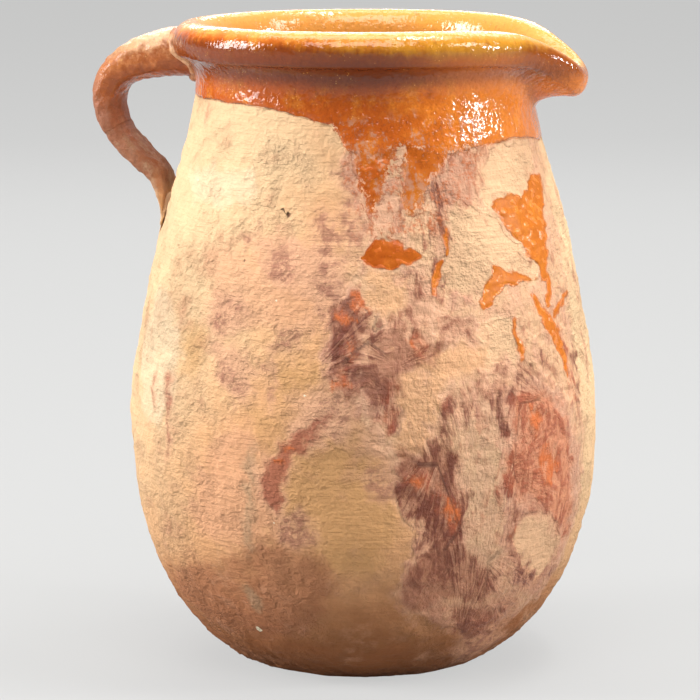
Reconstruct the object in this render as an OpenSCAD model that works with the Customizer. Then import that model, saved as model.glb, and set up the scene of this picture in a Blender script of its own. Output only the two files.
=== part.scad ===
// Thrown earthenware pitcher with a rolled rim, a pulled lip and a strap handle.
// The origin is on the pot's axis at the middle of the foot. The lip points to +X, the handle to -X.

/* [Body] */
// Radius of the flat foot, where the rounded heel lifts off the table
foot_r = 45.4; // [40:0.2:50]
// How far the heel runs out near the table before it turns up
heel_run = 5.4; // [3:0.2:8]
// Radius of the belly at its widest
belly_r = 92; // [86:0.5:98]
// Height of the widest part of the belly
belly_z = 93; // [84:1:102]
// Length of the belly's curve that stays near upright below its widest part
belly_fall = 71; // [60:1:76]
// Length of the belly's curve that stays near upright above its widest part
belly_rise = 52.5; // [44:0.5:60]
// Radius of the neck at its waist
neck_r = 65.2; // [60:0.2:69]
// Height of the neck's waist above the widest part of the belly
shoulder_h = 133.4; // [124:0.2:144]
// Length of the shoulder's curve that stays near upright below the waist
neck_fall = 15.5; // [10:0.5:22]

/* [Walls] */
// Thickness of the floor
floor_t = 9; // [6:0.5:12]
// Radius of the floor's flat inside, before it sweeps up into the wall
floor_flat_r = 34; // [26:1:40]
// Thickness of the wall at the belly
belly_wall = 6; // [4.5:0.5:8]
// Thickness of the wall at the neck
neck_wall = 5.5; // [4.5:0.5:7]

/* [Rim] */
// Height of the cove between the neck's waist and the rolled band
cove_h = 10.9; // [9:0.1:14]
// Height of the rolled band, from its lower edge to its crest
band_h = 12.7; // [11:0.1:15]
// How far the band's lower edge stands out from the neck
band_step = 6.8; // [5:0.2:9]
// How far the band's fullest line stands out beyond its lower edge
band_swell = 2; // [1:0.2:3.6]
// Height of the band's fullest line above its lower edge
band_full_h = 5.7; // [4.5:0.1:7]
// How far the crest is set in from the band's fullest line
crest_in = 7.4; // [6:0.2:9]
// Depth of the funnel inside the rim
funnel_h = 14; // [12:0.5:17]

/* [Lip] */
// How far the tip of the lip stands out beyond the band
lip_reach = 13; // [9:0.5:16]
// How far the crest drops at the lip
lip_drop = 15.8; // [10:0.2:17]
// Angle to each side at which the lip keeps half of its reach
lip_half = 11.8; // [8:0.2:15]
// Angle to each side at which the lip has died away into the round rim
lip_spread = 60; // [46:2:74]

/* [Handle] */
// Width of the strap along its run
strap_w = 28; // [22:0.5:34]
// Thickness of the strap where it flares on to the rim
strap_t_top = 21; // [16:0.5:23]
// Thickness of the strap at its furthest reach
strap_t_mid = 11; // [8:0.5:14]
// Thickness of the strap where it comes down on the shoulder
strap_t_low = 9; // [7:0.5:11]
// Width of the tail where it is wiped on to the shoulder
tail_w = 33; // [28:0.5:38]
// Thickness of the tail's tip
tail_t = 2.6; // [2:0.1:4]
// How far the strap's middle line stands out from the neck's waist
strap_reach = 36.4; // [32:0.2:44]
// Depth of the strap's middle line below the crest at the rim
strap_top_drop = 12.8; // [12:0.2:16]
// Depth of the strap's furthest reach below the crest
strap_reach_drop = 32; // [29:0.5:36]
// Depth below the crest at which the strap comes down on the shoulder
strap_join_drop = 58; // [55:0.5:64]
// Depth of the tail's tip below the crest
tail_drop = 85; // [80:0.5:94]
// Thickness of the slip between the strap's ends and the pot
slip_t = 0.8; // [0.6:0.1:1.5]
// How far the slip squeezes out around the strap
slip_edge = 1.5; // [1:0.1:2.5]

/* [Glaze] */
// Thickness of the honey glaze on the neck, rim and lip
collar_t = 0.45; // [0.3:0.05:0.8]
// Thickness of the glaze poured inside
lining_t = 0.4; // [0.3:0.05:0.8]
// Thickness of the glaze on the strap
strap_glaze_t = 0.45; // [0.3:0.05:0.8]
// Thickness of the runs that hang down from the collar
run_t = 0.5; // [0.35:0.05:0.9]
// Thickness of the starved film of glaze beside the runs
wash_t = 0.2; // [0.15:0.05:0.3]
// Depth of the collar's edge below the crest on the handle's side
dip_back = 28; // [26:0.5:33]
// Depth of the collar's edge below the crest on the lip's side
dip_front = 44.5; // [36:0.5:45]
// Share of the strap's length that the glaze covers
strap_glazed = 0.5; // [0.35:0.01:0.62]

/* [Hidden] */
$fn = 144;

// Heights and radii that follow from the sizes above
neck_z = belly_z + shoulder_h;
band_z = neck_z + cove_h;
crest_z = band_z + band_h;
band_r = neck_r + band_step + band_swell;
crest_r = band_r - crest_in;
belly_in_r = belly_r - belly_wall;
neck_in_r = neck_r - neck_wall;

// Where the shoulder's curve is parted: above this share of it the lip pulls the wall out of round
root_share = 0.72;
// Steps of the curves, and of the loft around the pot: from the lip's middle to its spread, and to the back
curve_n = 10;
short_n = 3;
lip_n = 12;
back_n = 18;

// A point on a cubic curve with control points p, and a run of n points that leaves out its last one
function curve_at(p, t) = pow(1 - t, 3) * p[0] + 3 * pow(1 - t, 2) * t * p[1]
    + 3 * (1 - t) * t * t * p[2] + t * t * t * p[3];
function curve(p, n) = [for (i = [0 : n - 1]) curve_at(p, i / n)];
function mix(a, b, w) = a + (b - a) * w;
function turned(list) = [for (i = [len(list) - 1 : -1 : 0]) list[i]];
// The first part of a cubic curve, and the rest of it, parted at the share t
function curve_start(p, t) = [p[0], mix(p[0], p[1], t), mix(mix(p[0], p[1], t), mix(p[1], p[2], t), t),
    curve_at(p, t)];
function curve_rest(p, t) = turned(curve_start(turned(p), 1 - t));

// The shoulder from the belly to the neck's waist, at the outside and at the inside of the wall
function shoulder(r_low, r_high) = [[r_low, belly_z], [r_low, belly_z + belly_rise],
    [r_high, neck_z - neck_fall], [r_high, neck_z]];
shoulder_out = shoulder(belly_r, neck_r);
shoulder_in = shoulder(belly_in_r, neck_in_r);
heel_out = [[foot_r, 0], [foot_r + heel_run, 0], [belly_r, belly_z - belly_fall], [belly_r, belly_z]];
heel_in = [[floor_flat_r, floor_t], [floor_flat_r + 2 * heel_run, floor_t],
    [belly_in_r, belly_z - belly_fall + floor_t], [belly_in_r, belly_z]];
root = curve_at(shoulder_out, root_share);
root_in = curve_at(shoulder_in, root_share);
// The upper wall is let into the lower one: its foot is set in and buried, and at the root it stands proud
foot_inset = 1;
foot_depth = 4;
proud = [0.25, 0];

// The wall below the root, as the line of its outside and of its inside, each from the foot up
low_out = concat(curve(heel_out, curve_n + 4), curve(curve_start(shoulder_out, root_share), curve_n), [root]);
low_in = concat(curve(heel_in, curve_n), curve(curve_start(shoulder_in, root_share), curve_n), [root_in]);

// Control points of the wall above the root, up the outside, over the crest and down the inside:
// first of the round rim, then of the lip at its tip, with as many curves in each
rim_waist = [neck_r, neck_z];
rim_edge = [neck_r + band_step, band_z];
rim_full = [band_r, band_z + band_full_h];
rim_crest = [crest_r, crest_z];
rim_throat = [neck_in_r + 0.6, crest_z - funnel_h];
rim_waist_in = [neck_in_r, neck_z];
rim_curves = [
    curve_rest(shoulder_out, root_share),
    [rim_waist, rim_waist + [0, cove_h * 0.55], rim_edge - [4, 1.2], rim_edge],
    [rim_edge, rim_edge + [1.3, 0.3], rim_full - [0, 2.5], rim_full],
    [rim_full, rim_full + [0, 4], rim_crest + [3.9, 0], rim_crest],
    [rim_crest, rim_crest - [3.2, 0], rim_throat + [0.9, 8], rim_throat],
    [rim_throat, rim_throat - [0, 3], rim_waist_in + [0, 3], rim_waist_in],
    turned(curve_rest(shoulder_in, root_share))];
lip_full = [band_r + lip_reach, crest_z - lip_drop - 5.4];
lip_edge = lip_full - [5.5, 6.6];
lip_crest = lip_full + [-5.4, 5.4];
lip_waist = [neck_r + 1.3, mix(root.y, lip_edge.y, 0.7)];
lip_throat = lip_crest - [15, 9];
lip_waist_in = [lip_waist.x - neck_wall, lip_waist.y + 1.5];
lip_curves = [
    [root, mix(root, rim_curves[0][1], 0.5), lip_waist - [0, 3], lip_waist],
    [lip_waist, lip_waist + [0, 4.6], lip_edge - [9, -0.3], lip_edge],
    [lip_edge, lip_edge + [3.3, 0], lip_full - [0, 3.2], lip_full],
    [lip_full, lip_full + [0, 3.2], lip_crest + [2.8, 0], lip_crest],
    [lip_crest, lip_crest - [2.6, 0], lip_throat + [5.5, 3], lip_throat],
    [lip_throat, lip_throat - [3.6, 2.2], lip_waist_in + [0, 3.4], lip_waist_in],
    [lip_waist_in, lip_waist_in - [0, 3], mix(root_in, rim_curves[6][2], 0.5), root_in]];
curve_steps = [short_n, short_n + 1, short_n, short_n + 2, short_n + 1, 2, short_n];

// The share of the lip in the rim at an angle from the lip's middle: 1 there, down to 0 at its spread.
// The reach keeps a blunt tip and the drop a rounder one, so each has its own power
reach_power = 3;
drop_power = 2.2;
function bell(a, power) = 1 / (1 + pow(abs(a) / lip_half, power));
function lip_share(a, power) =
    let (least = bell(lip_spread, power))
    max(0, (bell(a, power) - least) / (1 - least));
// The line of the wall above the root at an angle around the pot
function upper_line(a) =
    let (w = [lip_share(a, reach_power), lip_share(a, drop_power)])
    concat([for (k = [0 : len(rim_curves) - 1])
        let (pulled = [for (i = [0 : 3])
            let (p = rim_curves[k][i], d = lip_curves[k][i] - p) p + [d.x * w.x, d.y * w.y]])
        each curve(pulled, curve_steps[k])], [root_in]);
// The same line standing proud at the root, and the closed line of the upper wall with its buried foot
function proud_line(line) =
    concat([root + proud], [for (i = [1 : len(line) - 2]) line[i]], [root_in - proud]);
function wall_line(line) = concat([root - [foot_inset, foot_depth]], proud_line(line),
    [root_in - [-foot_inset, foot_depth]]);
// A line moved off the clay by t. Its ends move along the two directions given, so that a coat parts square
function off_line(line, t, first, last) = [for (i = [0 : len(line) - 1])
    let (d = i == 0 || i == len(line) - 1 ? [0, 1] : line[i + 1] - line[i - 1])
    line[i] + t * (i == 0 ? first : i == len(line) - 1 ? last : [d.y, -d.x] / norm(d))];
// The closed line of a coat of thickness t on a line
function coat(line, t, first, last) = concat(off_line(line, t, first, last), turned(line));
// The outside radius of the pot at a height below the neck's waist
low_table = [for (p = concat(low_out, curve(rim_curves[0], short_n), [rim_waist])) [p.y, p.x]];
function outer_r(z) = lookup(z, low_table);

// A ring of points, from a line in the half plane at angle a
function turn_line(line, a) = [for (p = line) [p.x * cos(a), p.x * sin(a), p.y]];
// The angles of the rings around the pot: close together at the lip's middle, even around the back
side_angles = concat([for (k = [1 : lip_n]) lip_spread * pow(k / lip_n, 1.6)],
    [for (k = [1 : back_n - 1]) mix(lip_spread, 180, k / back_n)]);
ring_angles = concat([0], side_angles, [180], turned(-side_angles));

// A solid through a row of closed loops that have as many points each; a round one meets its own start
module loft(loops, round = false) {
    m = len(loops[0]);
    n = len(loops);
    sides = [for (j = [0 : n - (round ? 1 : 2)], i = [0 : m - 1])
        let (a = j * m + i, b = j * m + (i + 1) % m, c = (j + 1) % n * m)
        each [[a, b, c + i], [b, c + (i + 1) % m, c + i]]];
    ends = round ? [] : [[for (i = [m - 1 : -1 : 0]) i], [for (i = [0 : m - 1]) (n - 1) * m + i]];
    polyhedron(points = [for (r = loops) each r], faces = concat(sides, ends), convexity = 8);
}

module vessel() {
    color("#c98f63") {
        rotate_extrude()
            polygon(concat([[0, 0]], low_out, turned(low_in), [[0, floor_t]]));
        loft([for (a = ring_angles) turn_line(wall_line(upper_line(a)), a)], round = true);
    }
}

// The outside of the pot up to the crest of its round rim, filled, and swollen by t
rim_count = curve_steps[0] + curve_steps[1] + curve_steps[2] + curve_steps[3];
outside = concat(low_out, [for (i = [1 : rim_count]) upper_line(180)[i]]);
module bulk(t) {
    rotate_extrude()
        polygon(concat([[0, -t]], [[foot_r, -t]], off_line(outside, t, [1, 0], [0, 1]), [[0, crest_z + t]]));
}

// The strap's middle line in the handle's plane, as three curves: rim to reach, reach to shoulder, tail
function beside(drop, out) = [-outer_r(crest_z - drop) - out, crest_z - drop];
strap_start = [-neck_r + neck_wall / 2, crest_z - strap_top_drop];
strap_far = [-neck_r - strap_reach, crest_z - strap_reach_drop];
strap_join = beside(strap_join_drop, 10.6);
strap_curves = [
    [strap_start, strap_start + [-23, 2], strap_far + [0, 14], strap_far],
    [strap_far, strap_far - [0, 10.5], strap_join + [-9, 8.5], strap_join],
    [strap_join, strap_join + [4.5, -4.3], beside(tail_drop - 13, -2), beside(tail_drop, 0.3)]];
function strap_at(s) = let (k = min(2, floor(s))) curve_at(strap_curves[k], s - k);
function strap_t(s) = lookup(s, [[0, strap_t_top], [1, strap_t_mid], [2, strap_t_low], [3, tail_t]]);
function strap_width(s) = lookup(s, [[0, strap_w], [1.9, strap_w], [2.5, tail_w], [3, tail_w * 0.6]]);
// A loop of the strap's section at s, a soft oblong that is grown by g all round
function soft(c) = sign(c) * pow(abs(c), 0.72);
function strap_loop(s, g) =
    let (p = strap_at(s), d = strap_at(min(3, s + 0.02)) - strap_at(max(0, s - 0.02)),
        n = [d.y, -d.x] / norm(d))
    [for (i = [0 : strap_m - 1])
        let (a = 360 * i / strap_m, q = p + n * soft(sin(a)) * (strap_t(s) / 2 + g))
        [q.x, soft(cos(a)) * (strap_width(s) / 2 + g), q.y]];
strap_m = 18;
strap_n = 8;
// The strap from ring a to ring b, counted strap_n to a curve
module strap(a, b, g) {
    loft([for (k = [a : b]) strap_loop(k / strap_n, g)]);
}

module handle() {
    color("#bd7a4c")
        difference() {
            strap(0, 3 * strap_n, 0);
            bulk(slip_t);
        }
}

// A bed of slip between the pot and the strap's rings a to b, squeezed out past the strap's edges
module slip_bed(a, b) {
    difference() {
        intersection() {
            strap(a, b, slip_edge);
            bulk(slip_t);
        }
        bulk(0);
    }
}

module top_luting_slip() {
    color("#b9774d")
        slip_bed(0, strap_n / 2);
}

module tail_luting_slip() {
    color("#c58c66")
        slip_bed(strap_n * 1.5, 3 * strap_n);
}

module lining_glaze() {
    color("#c8801f")
        rotate_extrude()
            polygon(coat(concat(turned(low_in), [[0, floor_t]]), lining_t, [-1, 0], [0, 1]));
}

// The inside half of the pot's wall and all that it encloses, above the belly
module core() {
    rotate_extrude()
        polygon(concat([[0, belly_z]],
            curve(shoulder(belly_r - belly_wall / 2, neck_r - neck_wall / 2), curve_n),
            [[neck_r - neck_wall / 2, neck_z], [crest_r, crest_z + collar_t], [0, crest_z + collar_t]]));
}

// Everything outside the core that lies below the tilted line of the dip
dip_tilt = atan((dip_front - dip_back) / (2 * neck_r));
module below_dip() {
    difference() {
        translate([0, 0, crest_z - (dip_front + dip_back) / 2])
            rotate([0, dip_tilt, 0])
                translate([0, 0, -belly_r])
                    cylinder(r = 2 * belly_r, h = belly_r);
        core();
    }
}

// Each run of glaze: its angle around the pot, and then, in hundredths of the root's height, the depths of
// its top and bottom below the root, its widths there, and how far it leans aside on its way down
runs = [[-78, -0.5, 10.3, 6.4, 3.4, -1], [-63, -0.5, 11.3, 5.4, 2.5, -1], [-27, -0.5, 23.2, 15.8, 2.5, 1],
    [-12, -0.5, 29.6, 4, 2.5, 1.5], [-57, 11.8, 17.7, 2.5, 2, 0.5], [-73, 14.3, 20.2, 4, 10.8, 0],
    [-27, 26.6, 42.4, 3.4, 2, 2.5], [-29, 43.3, 62.1, 9.9, 5.4, 1.5], [-103, 51.7, 59.6, 3.4, 2.5, -2]];
function run_line(r) =
    let (h = root.y / 100, z0 = root.y - r[1] * h, z1 = root.y - r[2] * h, a = r[3] * h / 2, b = r[4] * h / 2,
        c = r[5] * h, e = min(b, (z0 - z1) / 3),
        left = [[-a, z0], [-a, mix(z0, z1, 0.4)], [c - b, mix(z0, z1, 0.5)], [c - b, z1 + e]],
        tip = [[c - b, z1 + e], [c - b, z1], [c + b, z1], [c + b, z1 + e]],
        right = [[c + b, z1 + e], [c + b, mix(z0, z1, 0.5)], [a, mix(z0, z1, 0.4)], [a, z0]])
    concat(curve(left, short_n), curve(tip, short_n + 1), curve(right, short_n), [[a, z0]]);
// A column that stands out from the pot's axis at an angle, with a closed line as its section
module radial(angle, line) {
    rotate([0, 0, angle])
        rotate([90, 0, 90])
            translate([0, 0, foot_r])
                linear_extrude(belly_r)
                    polygon(line);
}
module run_columns() {
    for (r = runs)
        radial(r[0], run_line(r));
}

module collar_glaze() {
    color("#d0731c")
        difference() {
            loft([for (a = ring_angles)
                turn_line(coat(proud_line(upper_line(a)), collar_t, [1, 0], [-1, 0]), a)], round = true);
            difference() {
                below_dip();
                run_columns();
                wash_column();
            }
            difference() {
                strap(0, strap_n / 2, slip_edge);
                core();
            }
        }
}

// A coat of thickness t on the outside of the pot, from the heel to just below the upper wall's proud foot
coat_top = mix(root, low_out[len(low_out) - 2], 0.06);
module body_coat(t) {
    rotate_extrude()
        polygon(coat(concat([for (p = low_out) if (p.y > floor_t && p.y < root.y) p], [coat_top]), t,
            [1, 0], [1, 0]));
}

module glaze_runs() {
    color("#c9661f")
        intersection() {
            body_coat(run_t);
            run_columns();
        }
}

// The edge of the starved film, in four curves around a column at its own angle. Both coordinates are shares
// of the root's height, the second one counted up from the table
wash_angle = -45;
wash_top = (crest_z - dip_back) / root.y;
wash_curves = [
    [[-0.217, wash_top], [-0.232, 0.778], [-0.246, 0.581], [-0.187, 0.286]],
    [[-0.187, 0.286], [-0.148, 0.138], [0, 0.049], [0.108, 0.069]],
    [[0.108, 0.069], [0.197, 0.099], [0.227, 0.286], [0.271, 0.473]],
    [[0.271, 0.473], [0.315, 0.631], [0.276, 0.828], [0.207, wash_top]]];
module wash_column() {
    radial(wash_angle, [for (c = wash_curves) each curve(c * root.y, 2 * short_n)]);
}
module glaze_wash() {
    color("#a8705a")
        difference() {
            intersection() {
                body_coat(wash_t);
                wash_column();
            }
            run_columns();
        }
}

module handle_glaze() {
    color("#cf7424")
        difference() {
            strap(0, glazed_rings, strap_glaze_t);
            strap(0, glazed_rings + 1, 0);
            bulk(slip_t);
        }
}
glazed_rings = round(3 * strap_n * strap_glazed);

vessel();
handle();
top_luting_slip();
tail_luting_slip();
lining_glaze();
collar_glaze();
handle_glaze();
glaze_runs();
glaze_wash();
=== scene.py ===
import math
import bpy
import numpy as np
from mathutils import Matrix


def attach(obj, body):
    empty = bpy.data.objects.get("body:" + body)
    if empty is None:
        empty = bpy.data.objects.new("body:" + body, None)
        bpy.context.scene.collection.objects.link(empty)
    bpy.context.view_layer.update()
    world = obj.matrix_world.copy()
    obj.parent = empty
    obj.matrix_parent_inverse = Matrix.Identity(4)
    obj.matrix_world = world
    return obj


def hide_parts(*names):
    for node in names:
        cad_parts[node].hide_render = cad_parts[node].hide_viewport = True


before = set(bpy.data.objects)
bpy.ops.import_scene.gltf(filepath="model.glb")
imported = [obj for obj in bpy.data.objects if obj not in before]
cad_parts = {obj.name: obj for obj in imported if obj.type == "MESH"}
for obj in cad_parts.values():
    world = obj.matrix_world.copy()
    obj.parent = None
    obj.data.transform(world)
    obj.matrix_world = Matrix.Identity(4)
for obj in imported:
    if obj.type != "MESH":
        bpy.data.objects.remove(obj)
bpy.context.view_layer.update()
bpy.ops.object.select_all(action="DESELECT")

# Camera: it stands a little above the rim and to the lip's side of the pitcher's front, far enough away
# to draw the pot almost without perspective. The pot's axis falls just right of the picture's middle.
camera_distance = 1.379
camera_height = 0.3433
camera_side = math.radians(10)
camera_pitch = math.radians(9.166)
focal_pixels = 3552
picture_pixels = 700
axis_right_pixels = 14
film_width = 36
bpy.ops.object.camera_add(
    location=(camera_distance * math.sin(camera_side), -camera_distance * math.cos(camera_side), camera_height),
    rotation=(math.pi / 2 - camera_pitch, 0, camera_side + math.atan(axis_right_pixels / focal_pixels)))
camera = bpy.context.object
camera.name = "camera"
camera.data.sensor_width = film_width
camera.data.lens = film_width * focal_pixels / picture_pixels
bpy.context.scene.camera = camera

# Thrown pot: the body of the pitcher, red-firing earthenware thrown on a wheel, with rough throwing lines,
# grit and lime specks. Its rim was folded out and rolled, and its lip was pulled from the soft rim by hand.
# It is spun from one line here as on the wheel, in millimetres, and then pulled and worn.
MM = 0.001
foot_r = 45.4
heel_run = 5.4
belly_r = 92
belly_z = 93
belly_fall = 71
belly_rise = 52.5
neck_r = 65.2
neck_z = 226.4
neck_fall = 15.5
floor_t = 9
floor_flat_r = 34
belly_wall = 6
neck_wall = 5.5
cove_h = 10.9
band_z = neck_z + cove_h
crest_z = band_z + 12.7
band_step = 6.8
band_r = neck_r + band_step + 2
band_full_h = 5.7
crest_r = band_r - 7.4
funnel_h = 14
lip_reach = 13
lip_drop = 15.8
lip_half = 11.8
lip_spread = 60
root_share = 0.72


def bezier(points, t):
    """The points of a cubic curve at the shares t of its length."""
    t = np.asarray(t, float)[..., None]
    a, b, c, d = (np.asarray(p, float) for p in points)
    return (1 - t) ** 3 * a + 3 * (1 - t) ** 2 * t * b + 3 * (1 - t) * t * t * c + t ** 3 * d


def first_part(points, t):
    """The control points of a curve's first part, up to the share t."""
    a, b, c, d = (np.asarray(p, float) for p in points)
    ab, bc, cd = a + (b - a) * t, b + (c - b) * t, c + (d - c) * t
    return np.array([a, ab, ab + (bc - ab) * t, bezier(points, t)])


def last_part(points, t):
    """The control points of the rest of a curve, from the share t on."""
    return first_part(points[::-1], 1 - t)[::-1]


def shoulder(low_r, high_r):
    """The curve of the wall from the belly up to the waist of the neck."""
    return [[low_r, belly_z], [low_r, belly_z + belly_rise], [high_r, neck_z - neck_fall], [high_r, neck_z]]


def straight(a, b):
    """A straight line as a curve."""
    a, b = np.array(a, float), np.array(b, float)
    return [a, a + (b - a) / 3, a + (b - a) * 2 / 3, b]


def moved(point, x, z):
    """A point moved by x and z."""
    return np.array(point, float) + (x, z)


shoulder_out = shoulder(belly_r, neck_r)
shoulder_in = shoulder(belly_r - belly_wall, neck_r - neck_wall)
root = bezier(shoulder_out, root_share)
root_in = bezier(shoulder_in, root_share)
heel_out = [[foot_r, 0], [foot_r + heel_run, 0], [belly_r, belly_z - belly_fall], [belly_r, belly_z]]
heel_in = [[floor_flat_r, floor_t], [floor_flat_r + 2 * heel_run, floor_t],
           [belly_r - belly_wall, belly_z - belly_fall + floor_t], [belly_r - belly_wall, belly_z]]
waist = np.array([neck_r, neck_z])
edge = np.array([neck_r + band_step, band_z])
full = np.array([band_r, band_z + band_full_h])
crest = np.array([crest_r, crest_z])
throat = np.array([neck_r - neck_wall + 0.6, crest_z - funnel_h])
waist_in = np.array([neck_r - neck_wall, neck_z])
neck_out = last_part(shoulder_out, root_share)
neck_in = last_part(shoulder_in, root_share)[::-1]
rim_round = [
    neck_out,
    [waist, moved(waist, 0, cove_h * 0.55), moved(edge, -4, -1.2), edge],
    [edge, moved(edge, 1.3, 0.3), moved(full, 0, -2.5), full],
    [full, moved(full, 0, 4), moved(crest, 3.9, 0), crest],
    [crest, moved(crest, -3.2, 0), moved(throat, 0.9, 8), throat],
    [throat, moved(throat, 0, -3), moved(waist_in, 0, 3), waist_in],
    neck_in]
lip_full = np.array([band_r + lip_reach, crest_z - lip_drop - 5.4])
lip_edge = moved(lip_full, -5.5, -6.6)
lip_crest = moved(lip_full, -5.4, 5.4)
lip_waist = np.array([neck_r + 1.3, root[1] + (lip_edge[1] - root[1]) * 0.7])
lip_throat = moved(lip_crest, -15, -9)
lip_waist_in = moved(lip_waist, -neck_wall, 1.5)
rim_pulled = [
    [root, (root + neck_out[1]) / 2, moved(lip_waist, 0, -3), lip_waist],
    [lip_waist, moved(lip_waist, 0, 4.6), moved(lip_edge, -9, 0.3), lip_edge],
    [lip_edge, moved(lip_edge, 3.3, 0), moved(lip_full, 0, -3.2), lip_full],
    [lip_full, moved(lip_full, 0, 3.2), moved(lip_crest, 2.8, 0), lip_crest],
    [lip_crest, moved(lip_crest, -2.6, 0), moved(lip_throat, 5.5, 3), lip_throat],
    [lip_throat, moved(lip_throat, -3.6, -2.2), moved(lip_waist_in, 0, 3.4), lip_waist_in],
    [lip_waist_in, moved(lip_waist_in, 0, -3), (root_in + neck_in[2]) / 2, root_in]]
under_root = [straight((0, 0), (foot_r, 0)), heel_out, first_part(shoulder_out, root_share)]
inside = [first_part(shoulder_in, root_share)[::-1], heel_in[::-1], straight((floor_flat_r, floor_t), (0, floor_t))]
round_curves = np.array([np.array(c, float) for c in under_root + rim_round + inside])
pulled_curves = np.array([np.array(c, float) for c in under_root + rim_pulled + inside])
curve_rows = [5, 56, 66, 14, 12, 8, 12, 10, 5, 5, 14, 12, 4]
first_rows = np.cumsum([0] + curve_rows)
foot_row, heel_row, root_row, crest_row, throat_row, root_in_row = (first_rows[k] for k in (1, 2, 3, 7, 8, 10))
row_count = first_rows[-1] + 1
columns = 420


def lip_share(angle, power):
    """How much of the lip's pull is in the rim at an angle from the lip's middle."""
    bell = 1 / (1 + np.abs(angle / lip_half) ** power)
    least = 1 / (1 + (lip_spread / lip_half) ** power)
    return np.maximum(0, (bell - least) / (1 - least))


def wall_line(row, angle):
    """The radius and height of the wall at a row, counted from the foot's middle, and an angle in degrees."""
    row = np.clip(row, 0, row_count - 1)
    curve = np.clip(np.searchsorted(first_rows, row, side="right") - 1, 0, len(curve_rows) - 1)
    t = (row - first_rows[curve]) / np.array(curve_rows)[curve]
    pull = np.stack([lip_share(angle, 3), lip_share(angle, 2.2)], -1)
    places = round_curves[curve] + (pulled_curves - round_curves)[curve] * pull[:, None, :]
    shares = np.stack([(1 - t) ** 3, 3 * (1 - t) ** 2 * t, 3 * (1 - t) * t * t, t ** 3], -1)
    return (places * shares[..., None]).sum(1)


def wall_place(row, angle):
    """Places on the wall in millimetres."""
    line = wall_line(row, angle)
    turn = np.radians(angle)
    return np.stack([line[:, 0] * np.cos(turn), line[:, 0] * np.sin(turn), line[:, 1]], -1)


def wall_normal(row, angle):
    """The way out of the clay at places on the wall."""
    row = np.clip(row, 0.02, row_count - 1.02)
    along = wall_place(row + 0.02, angle) - wall_place(row - 0.02, angle)
    turn = np.radians(angle)
    around = (wall_place(row, angle + 0.05) - wall_place(row, angle - 0.05)
              + 1e-9 * np.stack([-np.sin(turn), np.cos(turn), 0 * turn], -1))
    normal = np.cross(around, along)
    return normal / np.maximum(np.linalg.norm(normal, axis=1, keepdims=True), 1e-12)


low_rows = np.linspace(foot_row, root_row, 400)
low_line = wall_line(low_rows, np.full(400, 180.0))
low_length = np.concatenate([[0], np.cumsum(np.hypot(*np.diff(low_line, axis=0).T))])


def lumps(places, size, seed, waves=26):
    """Soft random heights, about one millimetre each way, with lumps of about the given size."""
    draw = np.random.default_rng(seed)
    total = np.zeros(len(places))
    for _ in range(waves):
        way = draw.normal(size=3)
        way *= 2 * math.pi / size * draw.uniform(0.55, 1.5) / np.linalg.norm(way)
        total += np.cos(places @ way + draw.uniform(0, 2 * math.pi))
    return total * math.sqrt(2 / waves)


def clay_relief(row, angle, gritty=1):
    """Millimetres that throwing rings, dents and a share of the grit raise the outside over its drawn line."""
    places = wall_place(row, angle)
    height = places[:, 2]
    outside = np.clip((row - foot_row + 2) / 6, 0, 1) * np.clip((crest_row + 4 - row) / 12, 0, 1)
    length = np.interp(row, low_rows, low_length)
    rings = (0.07 * np.sin(length / 1.15 + 1.6 * lumps(places, 60, 11))
             + 0.04 * np.sin(length / 0.52 + 1.4 * lumps(places, 40, 12)))
    rough = 0.30 * lumps(places, 55, 1) + 0.17 * lumps(places, 17, 2) + 0.10 * lumps(places, 7, 3)
    coarse = np.clip(0.6 + 0.5 * lumps(places, 38, 4), 0.15, 1.3)
    grit = gritty * coarse * (0.12 * lumps(places * (1, 1, 1.5), 4.4, 5, 40) + 0.06 * lumps(places * (1, 1, 1.6), 2.8, 6, 32))
    calm = np.clip((neck_z - 8 - height) / 14, 0.25, 1)
    return ((rings + rough + grit) * calm - 0.68 * calm - 0.1) * outside


def spun_wall(name, steps):
    """The wall as a mesh: one line of points, extruded from a single point and spun around the pot's axis."""
    bpy.ops.object.select_all(action="DESELECT")
    rows = np.arange(row_count)
    line = wall_line(rows, np.full(row_count, 180.0))
    line[0, 0] = line[-1, 0] = 0
    bpy.ops.mesh.primitive_plane_add(size=MM, location=(0, 0, 0))
    wall = bpy.context.object
    wall.name = wall.data.name = name
    bpy.ops.object.mode_set(mode="EDIT")
    bpy.ops.mesh.select_all(action="SELECT")
    bpy.ops.mesh.merge(type="CENTER")
    for (r0, z0), (r1, z1) in zip(line, line[1:]):
        bpy.ops.mesh.extrude_region_move(TRANSFORM_OT_translate={"value": ((r0 - r1) * MM, 0, (z1 - z0) * MM)})
    bpy.ops.object.mode_set(mode="OBJECT")
    wall.data.attributes.new("row", "FLOAT", "POINT").data.foreach_set("value", rows.astype(np.float32))
    bpy.ops.object.mode_set(mode="EDIT")
    bpy.ops.mesh.select_all(action="SELECT")
    bpy.ops.mesh.spin(steps=steps, angle=2 * math.pi, center=(0, 0, 0), axis=(0, 0, 1))
    bpy.ops.mesh.select_all(action="SELECT")
    bpy.ops.mesh.remove_doubles(threshold=0.01 * MM)
    bpy.ops.mesh.normals_make_consistent(inside=False)
    bpy.ops.object.mode_set(mode="OBJECT")
    return wall


def read_points(piece):
    """The places of a piece's points, in metres."""
    places = np.zeros(len(piece.data.vertices) * 3, np.float32)
    piece.data.vertices.foreach_get("co", places)
    return places.reshape(-1, 3).astype(float)


def write_points(piece, places):
    """Moves a piece's points to new places, in metres."""
    piece.data.vertices.foreach_set("co", np.asarray(places, np.float32).ravel())
    piece.data.update()


def read_value(piece, name):
    """One number for each of a piece's points."""
    values = np.zeros(len(piece.data.vertices), np.float32)
    piece.data.attributes[name].data.foreach_get("value", values)
    return values.astype(float)


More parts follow.
